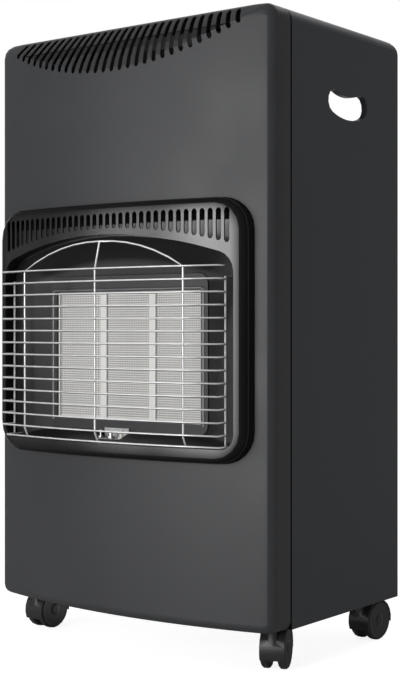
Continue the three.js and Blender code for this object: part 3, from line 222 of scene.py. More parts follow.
class Finish:
    """A node material in the making: shorthands round its tree. All lengths are metres."""

    def __init__(self, name, color, roughness, metallic=0.0, specular=0.5):
        self.material = bpy.data.materials.new(name)
        self.material.use_nodes = True
        self.material.diffuse_color = (*color, 1)
        self.tree = self.material.node_tree
        self.shader = self.tree.nodes["Principled BSDF"]
        self.color(color)
        self.shade("Roughness", roughness)
        self.shade("Metallic", metallic)
        self.shade("Specular IOR Level", specular)
        self.coords = self.tree.nodes.new("ShaderNodeTexCoord").outputs["Object"]

    def shade(self, socket, value):
        feed(self.tree, self.shader.inputs[socket], value)

    def color(self, value):
        self.shade("Base Color", value)

    def roughness(self, low, high, value):
        self.shade("Roughness", self.ranged(value, low, high, *NOISE_SPAN))

    def add(self, kind, **sockets):
        node = self.tree.nodes.new("ShaderNode" + kind)
        for socket, value in sockets.items():
            feed(self.tree, node.inputs[socket.replace("_", " ")], value)
        return node

    def math(self, operation, a, b=0.0):
        return math_node(self.tree, operation, a, b)

    def times(self, a, b):
        return self.math("MULTIPLY", a, b)

    def minus(self, a, b):
        return self.math("SUBTRACT", a, b)

    def vector(self, operation, a, b=(0, 0, 0)):
        node = self.tree.nodes.new("ShaderNodeVectorMath")
        node.operation = operation
        feed(self.tree, node.inputs[0], a)
        feed(self.tree, node.inputs[1], b)
        return node.outputs["Value" if operation == "DOT_PRODUCT" else "Vector"]

    def ranged(self, value, low, high, start=0.0, end=1.0):
        """low to high while the value runs from start to end, and held beyond them."""
        ends = {"From_Min": start, "From_Max": end, "To_Min": low, "To_Max": high}
        return self.add("MapRange", Value=value, **ends).outputs["Result"]

    def blend(self, factor, first, second, kind="RGBA"):
        node = self.tree.nodes.new("ShaderNodeMix")
        node.data_type = kind
        a, b, result = MIX_SOCKETS[kind]
        feed(self.tree, node.inputs[0], factor)
        feed(self.tree, node.inputs[a], first)
        feed(self.tree, node.inputs[b], second)
        return node.outputs[result]

    def noise(self, size, detail=2.0, stretch=None):
        """Clouds of about that size; a low stretch draws them out along its axis."""
        vector = self.coords
        if stretch:
            vector = self.add("Mapping", Vector=vector, Scale=stretch).outputs["Vector"]
        return self.add("TexNoise", Vector=vector, Scale=1 / size, Detail=detail).outputs["Fac"]

    def mottled(self, value, color, low, high, span=NOISE_SPAN):
        """The color from its low to its high shade while the value runs over the span."""
        share = self.ranged(value, 0, 1, *span)
        return self.blend(share, mixed(color, low), mixed(color, high))

    def bump(self, height, depth, below=None):
        node = self.add("Bump", Height=height, Distance=depth)
        if below is not None:
            feed(self.tree, node.inputs["Normal"], below)
        self.shade("Normal", node.outputs["Normal"])
        return node.outputs["Normal"]

    def split(self, vector):
        return tuple(self.add("SeparateXYZ", Vector=vector).outputs)

    def position(self):
        return self.split(self.coords)

    def facing(self, output="True Normal"):
        """The face's own direction, or the smoothed one with the output Normal."""
        return self.split(self.add("NewGeometry").outputs[output])

    def bowed_normal(self, crisp=0.0):
        """The bow's own direction where a face lies on it, and a firmer edge elsewhere."""
        slope = self.math("DIVIDE", self.position()[0], BOW_RADIUS * MM)
        ahead = self.add("CombineXYZ", X=slope, Y=-1.0).outputs["Vector"]
        bow = self.vector("NORMALIZE", ahead)
        geometry = self.add("NewGeometry").outputs
        smooth, flat = geometry["Normal"], geometry["True Normal"]
        mask = self.ranged(self.vector("DOT_PRODUCT", bow, flat), 0, 1, *ON_BOW)
        edge = self.vector("NORMALIZE", self.blend(crisp, smooth, flat, "VECTOR"))
        return self.blend(mask, edge, bow, "VECTOR"), mask

    def painted_edge_roll(self, node):
        """Painted reflection: the gloss by how far inside a node's rounded outline, seen from the
        front, it lies.
        """
        low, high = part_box(node)
        x, _, z = self.position()
        past = []
        for value, a, b in ((x, low.x, high.x), (z, low.z, high.z)):
            apart = self.math("ABSOLUTE", self.minus(value, (a + b) / 2))
            past.append(self.minus(apart, (b - a) / 2 - OUTLINE_CORNER))
        squares = [self.math("POWER", self.math("MAXIMUM", v, 0.0), 2.0) for v in past]
        outside = self.math("SQRT", self.math("ADD", *squares))
        inside = self.math("MINIMUM", self.math("MAXIMUM", *past), 0.0)
        reach = self.minus(OUTLINE_CORNER, self.math("ADD", outside, inside))
        return self.ranged(reach, *ROLL_GLOSS, *ROLL_REACH)

    def seam(self):
        """1 in the shadow line where the front panel's returns meet the side panels."""
        joint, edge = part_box("front_panel")[1].y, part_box("side_panel_right")[1].x
        x, y, _ = self.position()
        line = self.ranged(self.math("ABSOLUTE", self.minus(y, joint)), 1, 0, *SEAM_LINE)
        fade = [edge - depth for depth in SEAM_DEPTHS]
        return self.times(line, self.ranged(self.math("ABSOLUTE", x), 0, 1, *fade))


# Inner faces get painted shade, told from the outside coat by place and direction: the louvres'
# lower faces lie under BROW_TOP, the skirt before SKIRT_Y, and the roof's underside over
# ROOF_FOOT.
BROW_TOP = 0.728
SKIRT_Y = -0.0695
ROOF_FOOT = 0.7
# A face looks up where its direction's z passes UPWARD, and to the front or down where its
# y or z is under AWAY.
UPWARD = (0.4, 0.6)
AWAY = -0.5
# What stays of the coat's color and gloss under the painted shade on such faces, and in the seam.
UNLIT = 0.12
UNLIT_GLOSS = 0.02
SEAM_LOSS = 0.92


def paint_finish(name, color, roughness, specular, louvred=False):
    """Baked satin coat: fine orange peel, faint cloudiness and a little dust; inner faces get
    painted shade and the joint a painted shadow line.
    """
    f = Finish(name, color, roughness, specular=specular)
    cloud = f.noise(0.09, 3)
    speck = f.noise(0.0011)
    coat = f.mottled(cloud, color, 0.95, 1.05)
    coat = f.blend(f.ranged(speck, 0, 0.12, 0.62, 0.8), coat, mixed(color, 1.6))
    f.roughness(roughness - 0.05, roughness + 0.05, cloud)
    below = f.bowed_normal()[0] if louvred else None
    peel = f.bump(f.noise(0.00216, 1), 0.00003, below)
    f.bump(speck, 0.000012, peel)
    _, y, z = f.position()
    _, facing_y, facing_z = f.facing()
    # Faces inside the louvres, the skirt and the roof's underside get painted shade: dark color,
    # little gloss.
    if louvred:
        upward = f.ranged(facing_z, 0, 1, *UPWARD)
        painted_shade = f.times(upward, f.math("LESS_THAN", z, BROW_TOP))
    else:
        skirt = f.times(f.math("LESS_THAN", y, SKIRT_Y), f.math("LESS_THAN", facing_y, AWAY))
        roof = f.times(f.math("GREATER_THAN", z, ROOF_FOOT), f.math("LESS_THAN", facing_z, AWAY))
        painted_shade = f.math("MAXIMUM", skirt, roof)
    seam = f.seam()
    f.color(f.blend(seam, f.blend(painted_shade, coat, mixed(color, UNLIT)), mixed(color, UNLIT)))
    gloss = f.ranged(painted_shade, specular, UNLIT_GLOSS)
    gloss = f.times(f.minus(1.0, f.times(seam, SEAM_LOSS)), gloss)
    f.shade("Specular IOR Level", gloss)
    return f.material


# The surround's shoulder is wetter than its face, and its low outer lip gets painted shade as
# less gloss:
# the lip's gloss rises over LIP_RISE before the panel.
CRISP_EDGE = 0.55
WET = (0.09, 0.13)
LIP_RISE = (0.010, 0.014)
LIP_GLOSS = (0.15, 0.5)


def surround_finish(name, color, roughness):
    """Gloss moulding: even face, glossier where the shoulder turns away from it; its gloss is
    painted down on the lip and graded towards its outline as a painted reflection.
    """
    f = Finish(name, color, roughness)
    flow = f.noise(0.05, stretch=(1, 1, 0.3))
    f.color(f.mottled(flow, color, 0.9, 1.12))
    normal, face = f.bowed_normal(CRISP_EDGE)
    even = f.ranged(flow, roughness - 0.03, roughness + 0.04, *NOISE_SPAN)
    wet = f.ranged(flow, *WET, *NOISE_SPAN)
    f.shade("Roughness", f.math("ADD", wet, f.times(face, f.minus(even, wet))))
    x, y, _ = f.position()
    bulge = f.math("DIVIDE", f.times(x, x), 2 * BOW_RADIUS * MM)
    rise = f.minus(f.minus(bulge, (BOW_FRONT - SEAM_Y) * MM), y)
    # Painted reflection and shade: the gloss is turned down on the low lip and graded by the
    # rounded outline.
    lip = f.ranged(rise, *LIP_GLOSS, *LIP_RISE)
    f.shade("Specular IOR Level", f.times(lip, f.painted_edge_roll("surround")))
    f.bump(f.noise(0.0006), 0.000008, normal)
    return f.material


def moulded_finish(name, color, roughness, grain=0.5, depth=0.00001, specular=0.5):
    """Injection-moulded plastic: even color, fine spark-eroded texture (mm), faint flow."""
    f = Finish(name, color, roughness, specular=specular)
    flow = f.noise(0.05, stretch=(1, 1, 0.3))
    f.color(f.mottled(flow, color, 0.9, 1.12))
    f.roughness(roughness - 0.03, roughness + 0.05, flow)
    f.bump(f.noise(grain * MM), depth)
    return f.material


# Painted shade on a wire's underside, by the z of its direction, from dark to bright.
UNDERSIDE_SHADE = (-0.5, -0.05)


def plated_finish(name, color, roughness):
    """Bright plated wire: faint haze, and painted shade on the underside for the dark room it
    mirrors.
    """
    f = Finish(name, color, roughness, metallic=0.5)
    haze = f.noise(0.012, 3)
    _, _, up = f.facing("Normal")
    plate = f.mottled(haze, color, 0.92, 1.05, (0.35, 0.65))
    # Downward faces get painted shade.
    f.color(f.blend(f.ranged(up, 0, 1, *UNDERSIDE_SHADE), mixed(color, 0.16), plate))
    f.roughness(roughness - 0.05, roughness + 0.08, haze)
    f.bump(f.noise(0.006, 1), 0.000002)
    return f.material


def rolled_finish(name, color, roughness, heat=None):
    """Cold-rolled sheet: fine rolling lines, stains, and heat tint where it runs hot."""
    f = Finish(name, color, roughness, metallic=0.85)
    stain = f.noise(0.035, 4)
    sheet = f.mottled(stain, color, 0.86, 1.08)
    if heat:
        sheet = f.blend(f.ranged(f.noise(0.05), 0, 0.35, 0.5, 0.8), sheet, heat)
    f.color(sheet)
    f.roughness(roughness - 0.08, roughness + 0.1, stain)
    f.bump(f.noise(0.0012, 3, stretch=(1, 1, 0.04)), 0.00002)
    return f.material


SPANGLE = 0.009


def zinc_finish(name, color, roughness):
    """Hot-dip zinc: pale spangle cells and dull patches."""
    f = Finish(name, color, roughness, metallic=0.75)
    spangle = f.add("TexVoronoi", Vector=f.coords, Scale=1 / SPANGLE).outputs["Distance"]
    dull = f.noise(0.03, 3)
    bright = f.mottled(spangle, color, 1.12, 0.85, (0.0, 0.8))
    f.color(f.blend(f.ranged(dull, 0, 0.5, 0.4, 0.7), bright, mixed(color, 0.8)))
    f.roughness(roughness - 0.1, roughness + 0.12, dull)
    f.bump(spangle, 0.00001)
    return f.material


def metal_finish(name, color, roughness=0.3, ring=0.0011):
    """Turned or drawn soft metal with tool lines and light tarnish."""
    f = Finish(name, color, roughness, metallic=1.0)
    tarnish = f.noise(0.006, 4)
    f.color(f.mottled(tarnish, color, 1, 0.62, (0.35, 0.7)))
    f.roughness(roughness - 0.06, roughness + 0.15, tarnish)
    f.bump(f.noise(ring), 0.000015)
    return f.material


# The reflector by height: painted shade darkens it high up, where the surround's top overhangs
# it; the flange behind the arched window is plain, and all above it is painted shade, matt black.
UPPER_SHADE = (0.4, 0.5)
FLANGE = (0.474, 0.5095)
FLANGE_GREY = (0.1, 0.1, 0.1)
FLAT_ON = -0.9
# A painted light, a lighter arch over the burner: it fades in over its foot, its top falls by
# ARCH_DROP times the square of x, and its edge is that soft.
ARCH_FOOT = (0.44, 0.452)
ARCH_TOP = 0.47
ARCH_DROP = 1.1
ARCH_EDGE = (-0.002, 0.006)
ARCH_GREY = (0.075, 0.075, 0.076)


def enamel_finish(name, color):
    """Heat-proof black coat over sheet, with painted shade that makes it darker and duller high
    up and a painted lighter arch over the burner.
    """
    f = Finish(name, color, 0.4)
    x, _, z = f.position()
    haze = f.noise(0.04, 3)
    coat = f.mottled(haze, color, 0.8, 1.3)
    # Painted shade: darker high up, under the surround's overhang.
    coat = f.blend(f.ranged(z, 0, 1, *UPPER_SHADE), coat, mixed(color, 0.3))
    # Painted light: a lighter arch over the burner.
    arch = f.minus(ARCH_TOP, f.times(f.times(x, x), ARCH_DROP))
    arch_light = f.ranged(f.minus(arch, z), 0, 1, *ARCH_EDGE)
    arch_light = f.times(arch_light, f.ranged(z, 0, 1, *ARCH_FOOT))
    coat = f.blend(arch_light, coat, ARCH_GREY)
    low, high = FLANGE
    flange = f.times(f.math("GREATER_THAN", z, low), f.math("LESS_THAN", z, high))
    flange = f.times(flange, f.math("LESS_THAN", f.facing()[1], FLAT_ON))
    # Above the flange all is painted shade, without gloss.
    above = f.math("GREATER_THAN", z, high)
    f.color(f.blend(flange, coat, FLANGE_GREY))
    f.shade("Metallic", f.times(f.ranged(flange, 0.35, 0.95), f.minus(1.0, above)))
    f.shade("Specular IOR Level", f.ranged(above, 0.3, 0.0))
    f.roughness(0.3, 0.48, haze)
    f.bump(f.noise(0.0015), 0.00002)
    return f.material


def shield_finish(name, color):
    """Zinc sheet behind the burner: bright at the rear, with painted shade that makes it dark
    towards the front, where it is seen only through the louvres.
    """
    f = Finish(name, color, 0.45)
    dull = f.noise(0.03, 3)
    # Front faces get painted shade: nearly black and without gloss.
    front = f.math("LESS_THAN", f.facing()[1], AWAY)
    f.color(f.blend(front, f.mottled(dull, color, 1, 0.7), mixed(color, 0.04)))
    f.shade("Specular IOR Level", f.ranged(front, 0.4, 0.0))
    f.shade("Metallic", f.ranged(front, 0.6, 0.0))
    f.roughness(0.38, 0.6, dull)
    f.bump(f.noise(0.002), 0.00001)
    return f.material


CERAMIC = (0.8, 0.79, 0.77)
# Each plaque lies under the frame by PLAQUE_LAP, with a plain margin round its ports.
PLAQUE_LAP = 3 * MM
PLAQUE_MARGIN = 0.7 * MM
PORT_PITCH = 2.7 * MM
# A port's soft edge as shares of the pitch, how deep it is, and its color, painted shade for the
# hole's depth.
PORT_EDGE = (0.22, 0.36)
PORT_DEPTH = 0.0006
PORT_SHADE = (0.12, 0.115, 0.11)


def plaque_finish(name, color, low, high):
    """Ceramic plaque between two corners: a close grid of flame ports, painted dark as shade in
    the holes, in a plain margin.
    """
    f = Finish(name, color, 0.9, specular=0.2)
    x, _, z = f.position()
    squares, inside = [], []
    for value, a, b in ((x, low.x, high.x), (z, low.z, high.z)):
        off = f.minus(value, (a + b) / 2)
        cell = f.minus(f.math("FRACT", f.math("DIVIDE", off, PORT_PITCH)), 0.5)
        squares.append(f.times(cell, cell))
        half = (b - a) / 2 - PLAQUE_LAP - PLAQUE_MARGIN
        inside.append(f.math("LESS_THAN", f.math("ABSOLUTE", off), half))
    field = f.times(*inside)
    port = f.ranged(f.math("SQRT", f.math("ADD", *squares)), 1, 0, *PORT_EDGE)
    port = f.times(port, field)
    face = f.mottled(f.noise(0.02, 4), color, 0.93, 1)
    face = f.blend(f.times(field, 0.5), face, mixed(color, 0.84))
    f.color(f.blend(f.times(port, 0.85), face, PORT_SHADE))
    grit = f.bump(f.noise(0.0006, 3), 0.00004)
    f.bump(f.times(port, -1.0), PORT_DEPTH, grit)
    return f.material


def fibre_finish(name, color):
    """Pressed ceramic-fibre strip: matt, pale, slightly fluffy."""
    f = Finish(name, color, 0.95, specular=0.1)
    fluff = f.noise(0.0012, 5, stretch=(1, 1, 0.35))
    f.color(f.mottled(fluff, color, 0.92, 1))
    f.bump(fluff, 0.0001)
    return f.material


finish = {
    "front": paint_finish("front_coat", (0.034, 0.035, 0.0373), 0.44, 0.36, louvred=True),
    "side": paint_finish("side_coat", (0.047, 0.049, 0.054), 0.5, 0.2),
    "surround": surround_finish("surround_moulding", (0.009, 0.009, 0.0095), 0.26),
    "wire": plated_finish("plated_wire", (0.9, 0.9, 0.9), 0.36),
    "reflector": enamel_finish("reflector_sheet", (0.02, 0.02, 0.021)),
    "burner": rolled_finish("burner_sheet", (0.06, 0.06, 0.061), 0.42, heat=(0.055, 0.05, 0.045)),
    "shield": shield_finish("shield_sheet", (0.36, 0.365, 0.37)),
    # The bead's sheet is lighter than the burner's as a painted highlight.
    "bead": rolled_finish("bead_painted_highlight", (0.2, 0.2, 0.203), 0.4),
    "zinc": zinc_finish("zinc_sheet", (0.5, 0.51, 0.52), 0.42),
    "brass": metal_finish("brass_fitting", (0.62, 0.45, 0.2)),
    "copper": metal_finish("copper_pipe", (0.6, 0.3, 0.19)),
    "screw": metal_finish("screw_head", (0.5, 0.5, 0.5), 0.35, 0.0006),
    "insulator": moulded_finish("glazed_insulator", (0.72, 0.7, 0.66), 0.2, 1.5),
    "castor": moulded_finish("castor_moulding", (0.02, 0.02, 0.021), 0.33, 0.4, 0.00002, 0.45),
    "control": moulded_finish("control_moulding", (0.02, 0.02, 0.022), 0.32, 0.4, 0.00002),
    "button": moulded_finish("button_moulding", (0.32, 0.02, 0.015), 0.25),
    "mark": moulded_finish("printed_mark", (0.75, 0.75, 0.74), 0.5, 0.8, 0.000003),
    "fibre": fibre_finish("fibre_strip", CERAMIC),
}


# ---------------------------------------------------------------- CAD nodes

SLOT_FINISH = {
    "front_paint": "front",
    "side_paint": "side",
    "moulded_surround": "surround",
    "chrome_wire": "wire",
    "reflector_steel": "reflector",
    "burner_steel": "burner",
    "zinc_steel": "zinc",
    "brass": "brass",
    "copper": "copper",
    "insulator": "insulator",
    "castor_plastic": "castor",
    "control_plastic": "control",
    "button_plastic": "button",
}
NODE_FINISH = {"heat_shield": "shield", "thermocouple": "screw", "pilot_burner": "screw"}

# Faces that meet at less than the split angle are shaded as one; rods are six-sided.
SPLIT_ANGLE = 32
ROD_SPLIT_ANGLE = 75
RODS = ("wire_guard", "supply_pipe", "hose_nozzle")
# These bend all over, so their flat faces don't pull the shading towards themselves.
CURVED = ("reflector", "wire_guard")
WELD_REACH = 0.000002


def dress(node, material):
    materials = nodes[node].data.materials
    materials.clear()
    materials.append(material)


def smooth_node(name):
    """Smooth shading by modifiers only; the node's own vertices stay as packed."""
    obj = nodes[name]
    obj.data.polygons.foreach_set("use_smooth", [True] * len(obj.data.polygons))
    weld = obj.modifiers.new("weld", "WELD")
    weld.merge_threshold = WELD_REACH
    split = obj.modifiers.new("split", "EDGE_SPLIT")
    split.split_angle = math.radians(ROD_SPLIT_ANGLE if name in RODS else SPLIT_ANGLE)
    if name not in CURVED:
        weighted = obj.modifiers.new("weighted", "WEIGHTED_NORMAL")
        weighted.keep_sharp = True


for part in frame["record"]["subparts"]:
    if part["material_slot"] in SLOT_FINISH:
        dress(part["node"], finish[SLOT_FINISH[part["material_slot"]]])
for name, key in NODE_FINISH.items():
    dress(name, finish[key])
for label in ("left", "middle", "right"):
    plaque = f"ceramic_plaque_{label}"
    dress(plaque, plaque_finish(f"plaque_{label}", CERAMIC, *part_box(plaque)))
for name in nodes:
    smooth_node(name)


# ---------------------------------------------------------------- shapes of added pieces

# A shape is a pair of points and faces, in mm until it becomes a piece.
PIECE_SPLIT_ANGLE = 38
CABINET = "cabinet"


def piece(name, shape, key, body, smooth=True):
    """A piece from a shape in metres; it rides on the named body."""
    verts, faces = shape
    mesh = bpy.data.meshes.new(name)
    mesh.from_pydata([tuple(v) for v in verts], [], faces)
    mesh.update()
    work = bmesh.new()
    work.from_mesh(mesh)
    bmesh.ops.recalc_face_normals(work, faces=work.faces)
    work.to_mesh(mesh)
    work.free()
    mesh.materials.append(finish[key])
    mesh.polygons.foreach_set("use_smooth", [smooth] * len(mesh.polygons))
    obj = bpy.data.objects.new(name, mesh)
    scene.collection.objects.link(obj)
    if smooth:
        split = obj.modifiers.new("split", "EDGE_SPLIT")
        split.split_angle = math.radians(PIECE_SPLIT_ANGLE)
    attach(obj, body)


def metres(shape):
    return [v * MM for v in shape[0]], shape[1]


def merged(shapes):
    verts, faces = [], []
    for v, f in shapes:
        start = len(verts)
        verts += v
        faces += [tuple(i + start for i in face) for face in f]
    return verts, faces


def placed(shape, x, y, z):
    return [v + Vector((x, y, z)) for v in shape[0]], shape[1]


def set_at(shape, place, axis):
    """Scales a +Z shape to metres and points it along the axis from a place in metres."""
    turn = axis.to_track_quat("Z", "Y").to_matrix()
    return [place + turn @ v * MM for v in shape[0]], shape[1]


def around(radius, height, k, count):
    """The k-th of count points on a circle about +Z."""
    a = 2 * math.pi * k / count
    return Vector((radius * math.cos(a), radius * math.sin(a), height))


def lathe(profile, turns=32):
    """A closed profile of (radius, height) turned about +Z."""
    verts = [around(r, h, k, turns) for k in range(turns) for r, h in profile]
    faces = []
    n = len(profile)
    for k in range(turns):
        m = (k + 1) % turns
        for i in range(n):
            j = (i + 1) % n
            faces.append((k * n + i, m * n + i, m * n + j, k * n + j))
    return verts, faces


def slab(outline, thick):
    """A flat prism that rises from z 0 on an outline of (x, y)."""
    n = len(outline)
    verts = [Vector((x, y, z)) for z in (0, thick) for x, y in outline]
    faces = [tuple(range(n - 1, -1, -1)), tuple(range(n, 2 * n))]
    faces += [(i, (i + 1) % n, n + (i + 1) % n, n + i) for i in range(n)]
    return verts, faces


def block(xs, ys, zs):
    verts = [Vector((x, y, z)) for x in xs for y in ys for z in zs]
    faces = [(0, 1, 3, 2), (4, 6, 7, 5), (0, 4, 5, 1), (2, 3, 7, 6), (0, 2, 6, 4), (1, 5, 7, 3)]
    return verts, faces


# ---------------------------------------------------------------- burner

# A thin pressed bead runs round the window at both sides and the top; its lighter sheet is a
# painted highlight on the frame's rolled edge.
BEAD_RADIUS = 1.7
BEAD_CORNER = 4.0
BEAD_SIDES = (-117.6, 115.6)
BEAD_FOOT, BEAD_HEAD = 276.0, 434.4
BEAD_SUNK = 0.2
BEAD_FLATTENED = 0.8


def frame_bead(corner_facets=5, facets=6):
    low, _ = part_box("burner_frame")
    front = low.y / MM + BEAD_SUNK
    left, right = BEAD_SIDES
    path = [(left, BEAD_FOOT)]
    for center, start in ((left + BEAD_CORNER, math.pi), (right - BEAD_CORNER, math.pi / 2)):
        for k in range(corner_facets + 1):
            a = start - math.pi / 2 * k / corner_facets
            z = BEAD_HEAD - BEAD_CORNER + BEAD_CORNER * math.sin(a)
            path.append((center + BEAD_CORNER * math.cos(a), z))
    path.append((right, BEAD_FOOT))
    verts, faces = [], []
    for i, (x, z) in enumerate(path):
        before, after = path[max(0, i - 1)], path[min(len(path) - 1, i + 1)]
        run = Vector((after[0] - before[0], after[1] - before[1])).normalized()
        for k in range(facets + 1):
            a = math.pi * k / facets
            out = BEAD_RADIUS * math.cos(a)
            y = front - BEAD_RADIUS * BEAD_FLATTENED * math.sin(a)
            verts.append(Vector((x - run.y * out, y, z + run.x * out)))
    ring = facets + 1
    for i in range(len(path) - 1):
        for k in range(ring):
            m = (k + 1) % ring
            faces.append((i * ring + k, i * ring + m, (i + 1) * ring + m, (i + 1) * ring + k))
    faces.append(tuple(range(ring)))
    faces.append(tuple(range(len(verts) - 1, len(verts) - ring - 1, -1)))
    piece("frame_bead", metres((verts, faces)), "bead", CABINET)


# A pale fibre strip lies round and between the plaques, on the pressed frame's floor.
GASKET_REAR = -107.45
GASKET_THICK = 0.35
GASKET_EDGES = (-111.7, -109, -43, -33, 33, 43, 109, 111.7)
GASKET_FOOT = (278.3, 281)
GASKET_HEAD = (429, 431.7)


def fibre_gasket():
    ys = (GASKET_REAR - GASKET_THICK, GASKET_REAR)
    edges = list(zip(GASKET_EDGES, GASKET_EDGES[1:]))
    uprights, windows = edges[::2], edges[1::2]
    bars = [block(xs, ys, (GASKET_FOOT[0], GASKET_HEAD[1])) for xs in uprights]
    bars += [block(xs, ys, zs) for xs in windows for zs in (GASKET_FOOT, GASKET_HEAD)]
    piece("fibre_gasket", metres(merged(bars)), "fibre", CABINET, smooth=False)


# ---------------------------------------------------------------- guard

# Small weld beads where the guard's cross wires meet its uprights, its outermost wires
# and the uprights' feet: x places, and how far each kind stands off the panel.
GUARD_LOWEST = 218.6
GUARD_HIGHEST = 406.1
GUARD_ROWS = 14
GUARD_UPRIGHTS = (-122, 0, 122)
GUARD_SIDES = (-163, 163)
GUARD_FOOT_DROP = 13
UPRIGHT_RISE, SIDE_RISE, FOOT_RISE = 28.9, 12.7, 23.6
WELD_RADIUS, SIDE_WELD_RADIUS = 1.5, 1.4
WELD_FLATTENED = 0.8


def proud(x, rise, z):
    """A point standing off the bowed front panel, given in cabinet mm, in row metres."""
    y = x * x / (2 * BOW_RADIUS) - BOW_FRONT - rise
    return Vector((x, y + SEAM_Y, z + FOOT_Z)) * MM


def weld(place, radius, turns=8, bands=5):
    verts, faces = [Vector((0, 0, radius))], []
    for j in range(1, bands):
        tilt = math.pi * j / bands
        for k in range(turns):
            point = around(radius * math.sin(tilt), radius * math.cos(tilt), k, turns)
            point.y *= WELD_FLATTENED
            verts.append(point)
    verts.append(Vector((0, 0, -radius)))
    last = len(verts) - 1
    for k in range(turns):
        m = (k + 1) % turns
        faces.append((0, 1 + k, 1 + m))
        faces.append((last, last - turns + m, last - turns + k))
        for j in range(bands - 2):
            row = 1 + j * turns
            faces.append((row + k, row + turns + k, row + turns + m, row + m))
    return [place + v * MM for v in verts], faces


def guard_welds():
    pitch = (GUARD_HIGHEST - GUARD_LOWEST) / (GUARD_ROWS - 1)
    rows = [GUARD_LOWEST + i * pitch for i in range(GUARD_ROWS)]
    feet = GUARD_LOWEST - GUARD_FOOT_DROP
    middle = [proud(x, UPRIGHT_RISE, z) for x in GUARD_UPRIGHTS for z in rows]
    sides = [proud(x, SIDE_RISE, z) for x in GUARD_SIDES for z in rows[:-1]]
    ends = [proud(x, FOOT_RISE, feet) for x in GUARD_UPRIGHTS]
    welds = [weld(place, WELD_RADIUS) for place in middle]
    welds += [weld(place, SIDE_WELD_RADIUS) for place in sides]
    welds += [weld(place, WELD_RADIUS) for place in ends]
    piece("guard_welds", merged(welds), "wire", CABINET)


# ---------------------------------------------------------------- castors

# Hub caps close the axle bores, and a raised rim runs round each disc: (radius, height).
CASTOR_YAW = {"front_left": -2, "front_right": 22, "rear_left": 3, "rear_right": -4}
WHEEL_FACE = 14.5
CAP = [(0.01, 0), (7.5, 0), (7.5, 0.25), (7.1, 0.5), (2.6, 0.5), (2.2, 0.15), (0.01, 0.15)]
RIM = [(19.6, -0.2), (22.4, -0.2), (22.4, 0.05), (22.0, 0.3), (20.0, 0.3), (19.6, 0.05)]


# The rim's circle is larger, so it has more facets than the cap's.
RIM_TURNS = 48


def wheel_faces(label, degrees):
    low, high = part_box(f"castor_axle_{label}")
    center = (Vector(low) + Vector(high)) / 2
    yaw = math.radians(degrees)
    along = Vector((math.cos(yaw), math.sin(yaw), 0))
    for letter, out in (("a", -along), ("b", along)):
        face = center + out * WHEEL_FACE * MM
        disc = merged([set_at(lathe(CAP), face, out), set_at(lathe(RIM, RIM_TURNS), face, out)])
        piece(f"hub_cap_{letter}_{label}", disc, "castor", f"wheel_{letter}_{label}")


# ---------------------------------------------------------------- controls

# Marks on the control plate: a dial of numbers, an off dot and a spark sign.
KNOB_X, KNOB_Y = 72.0, 23.1
BUTTON_X, BUTTON_Y = 140.0, 23.1
PLATE_TOP = 725.0
MARK_THICK = 0.12
STROKE_WIDTH = 0.55
DIAL_RADIUS = 28
DIAL_ANGLES = {1: 150, 2: 90, 3: 30}
OFF_ANGLE = 210
OFF_RADIUS = 1.3
OFF_FACETS = 24
SPARK_AWAY = 15
SPARK = [(0.8, 3), (-1.6, -0.4), (-0.2, -0.4), (-0.9, -3), (1.6, 0.5), (0.2, 0.5)]
# The strokes of each number, in its own mm.
NUMBERS = {
    1: [((0, 2), (0, -2)), ((0, 2), (-0.9, 1.1))],
    2: [
        ((-1.1, 2), (1.1, 2)),
        ((1.1, 2), (1.1, 0)),
        ((1.1, 0), (-1.1, 0)),
        ((-1.1, 0), (-1.1, -2)),
        ((-1.1, -2), (1.1, -2)),
    ],
    3: [
        ((-1.1, 2), (1.1, 2)),
        ((1.1, 2), (1.1, -2)),
        ((1.1, 0), (-0.7, 0)),
        ((1.1, -2), (-1.1, -2)),
    ],
}


def stroke(start, end):
    a, b = Vector(start), Vector(end)
    along = (b - a).normalized() * STROKE_WIDTH / 2
    across = Vector((-along.y, along.x))
    corners = (a - along - across, b + along - across, b + along + across, a - along + across)
    return slab(corners, MARK_THICK)


def on_dial(shape, degrees):
    a = math.radians(degrees)
    x, y = KNOB_X + DIAL_RADIUS * math.cos(a), KNOB_Y + DIAL_RADIUS * math.sin(a)
    return placed(shape, x, y, PLATE_TOP)


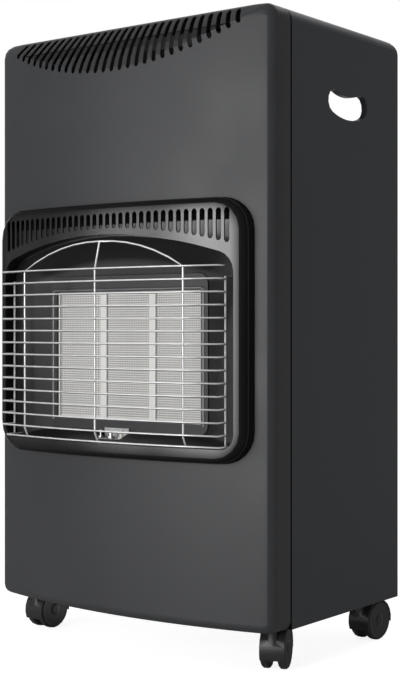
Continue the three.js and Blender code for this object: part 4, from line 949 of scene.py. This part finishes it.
def control_marks():
    marks = []
    for number, degrees in DIAL_ANGLES.items():
        marks += [on_dial(stroke(*ends), degrees) for ends in NUMBERS[number]]
    dot = [around(OFF_RADIUS, 0, k, OFF_FACETS).xy for k in range(OFF_FACETS)]
    marks.append(on_dial(slab(dot, MARK_THICK), OFF_ANGLE))
    marks.append(placed(slab(SPARK, MARK_THICK), BUTTON_X, BUTTON_Y + SPARK_AWAY, PLATE_TOP))
    piece("control_marks", metres(merged(marks)), "mark", CABINET, smooth=False)


# Screws hold the plate's corners. The head's profile and the recess are shares of its
# radius and rise.
SCREW_INSET = 9
SCREW_RADIUS = 2.0
SCREW_RISE = 0.8
SCREW_RECESS = 0.45
HEAD_PROFILE = ((1, 0), (1, 0.45), (0.8, 0.85), (0.5, 1))
RECESS_REACH = 0.42


def screw_shape(turns=24):
    """A low pan head with a cross recess pressed into it."""
    rings = [(SCREW_RADIUS * r, SCREW_RISE * h) for r, h in HEAD_PROFILE]
    verts = [around(r, h, k, turns) for r, h in rings for k in range(turns)]
    # The recess dips at four of its points, the arms of the cross.
    floor = SCREW_RISE - SCREW_RECESS
    arms = turns // 4
    for k in range(turns):
        height = SCREW_RISE if k % arms else floor
        verts.append(around(SCREW_RADIUS * RECESS_REACH, height, k, turns))
    verts.append(Vector((0, 0, floor)))
    faces = []
    for i in range(len(rings)):
        for k in range(turns):
            m = (k + 1) % turns
            faces.append((i * turns + k, i * turns + m, (i + 1) * turns + m, (i + 1) * turns + k))
    recess, middle = len(rings) * turns, len(verts) - 1
    faces += [(recess + k, recess + (k + 1) % turns, middle) for k in range(turns)]
    faces.append(tuple(range(turns - 1, -1, -1)))
    return verts, faces


def control_screws():
    low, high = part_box("control_plate")
    inset = SCREW_INSET * MM
    xs, ys = (low.x + inset, high.x - inset), (low.y + inset, high.y - inset)
    spots = [Vector((x, y, PLATE_TOP * MM)) for x in xs for y in ys]
    screws = [set_at(screw_shape(), spot, Vector((0, 0, 1))) for spot in spots]
    piece("control_plate_screws", merged(screws), "screw", CABINET)


# ---------------------------------------------------------------- the whole scene

frame_bead()
guard_welds()
fibre_gasket()
for label, degrees in CASTOR_YAW.items():
    wheel_faces(label, degrees)
control_marks()
control_screws()

aim_camera()
scene.view_settings.view_transform = "Standard"
studio_world()
make_floor()
for lamp in LAMPS:
    softbox(*lamp)
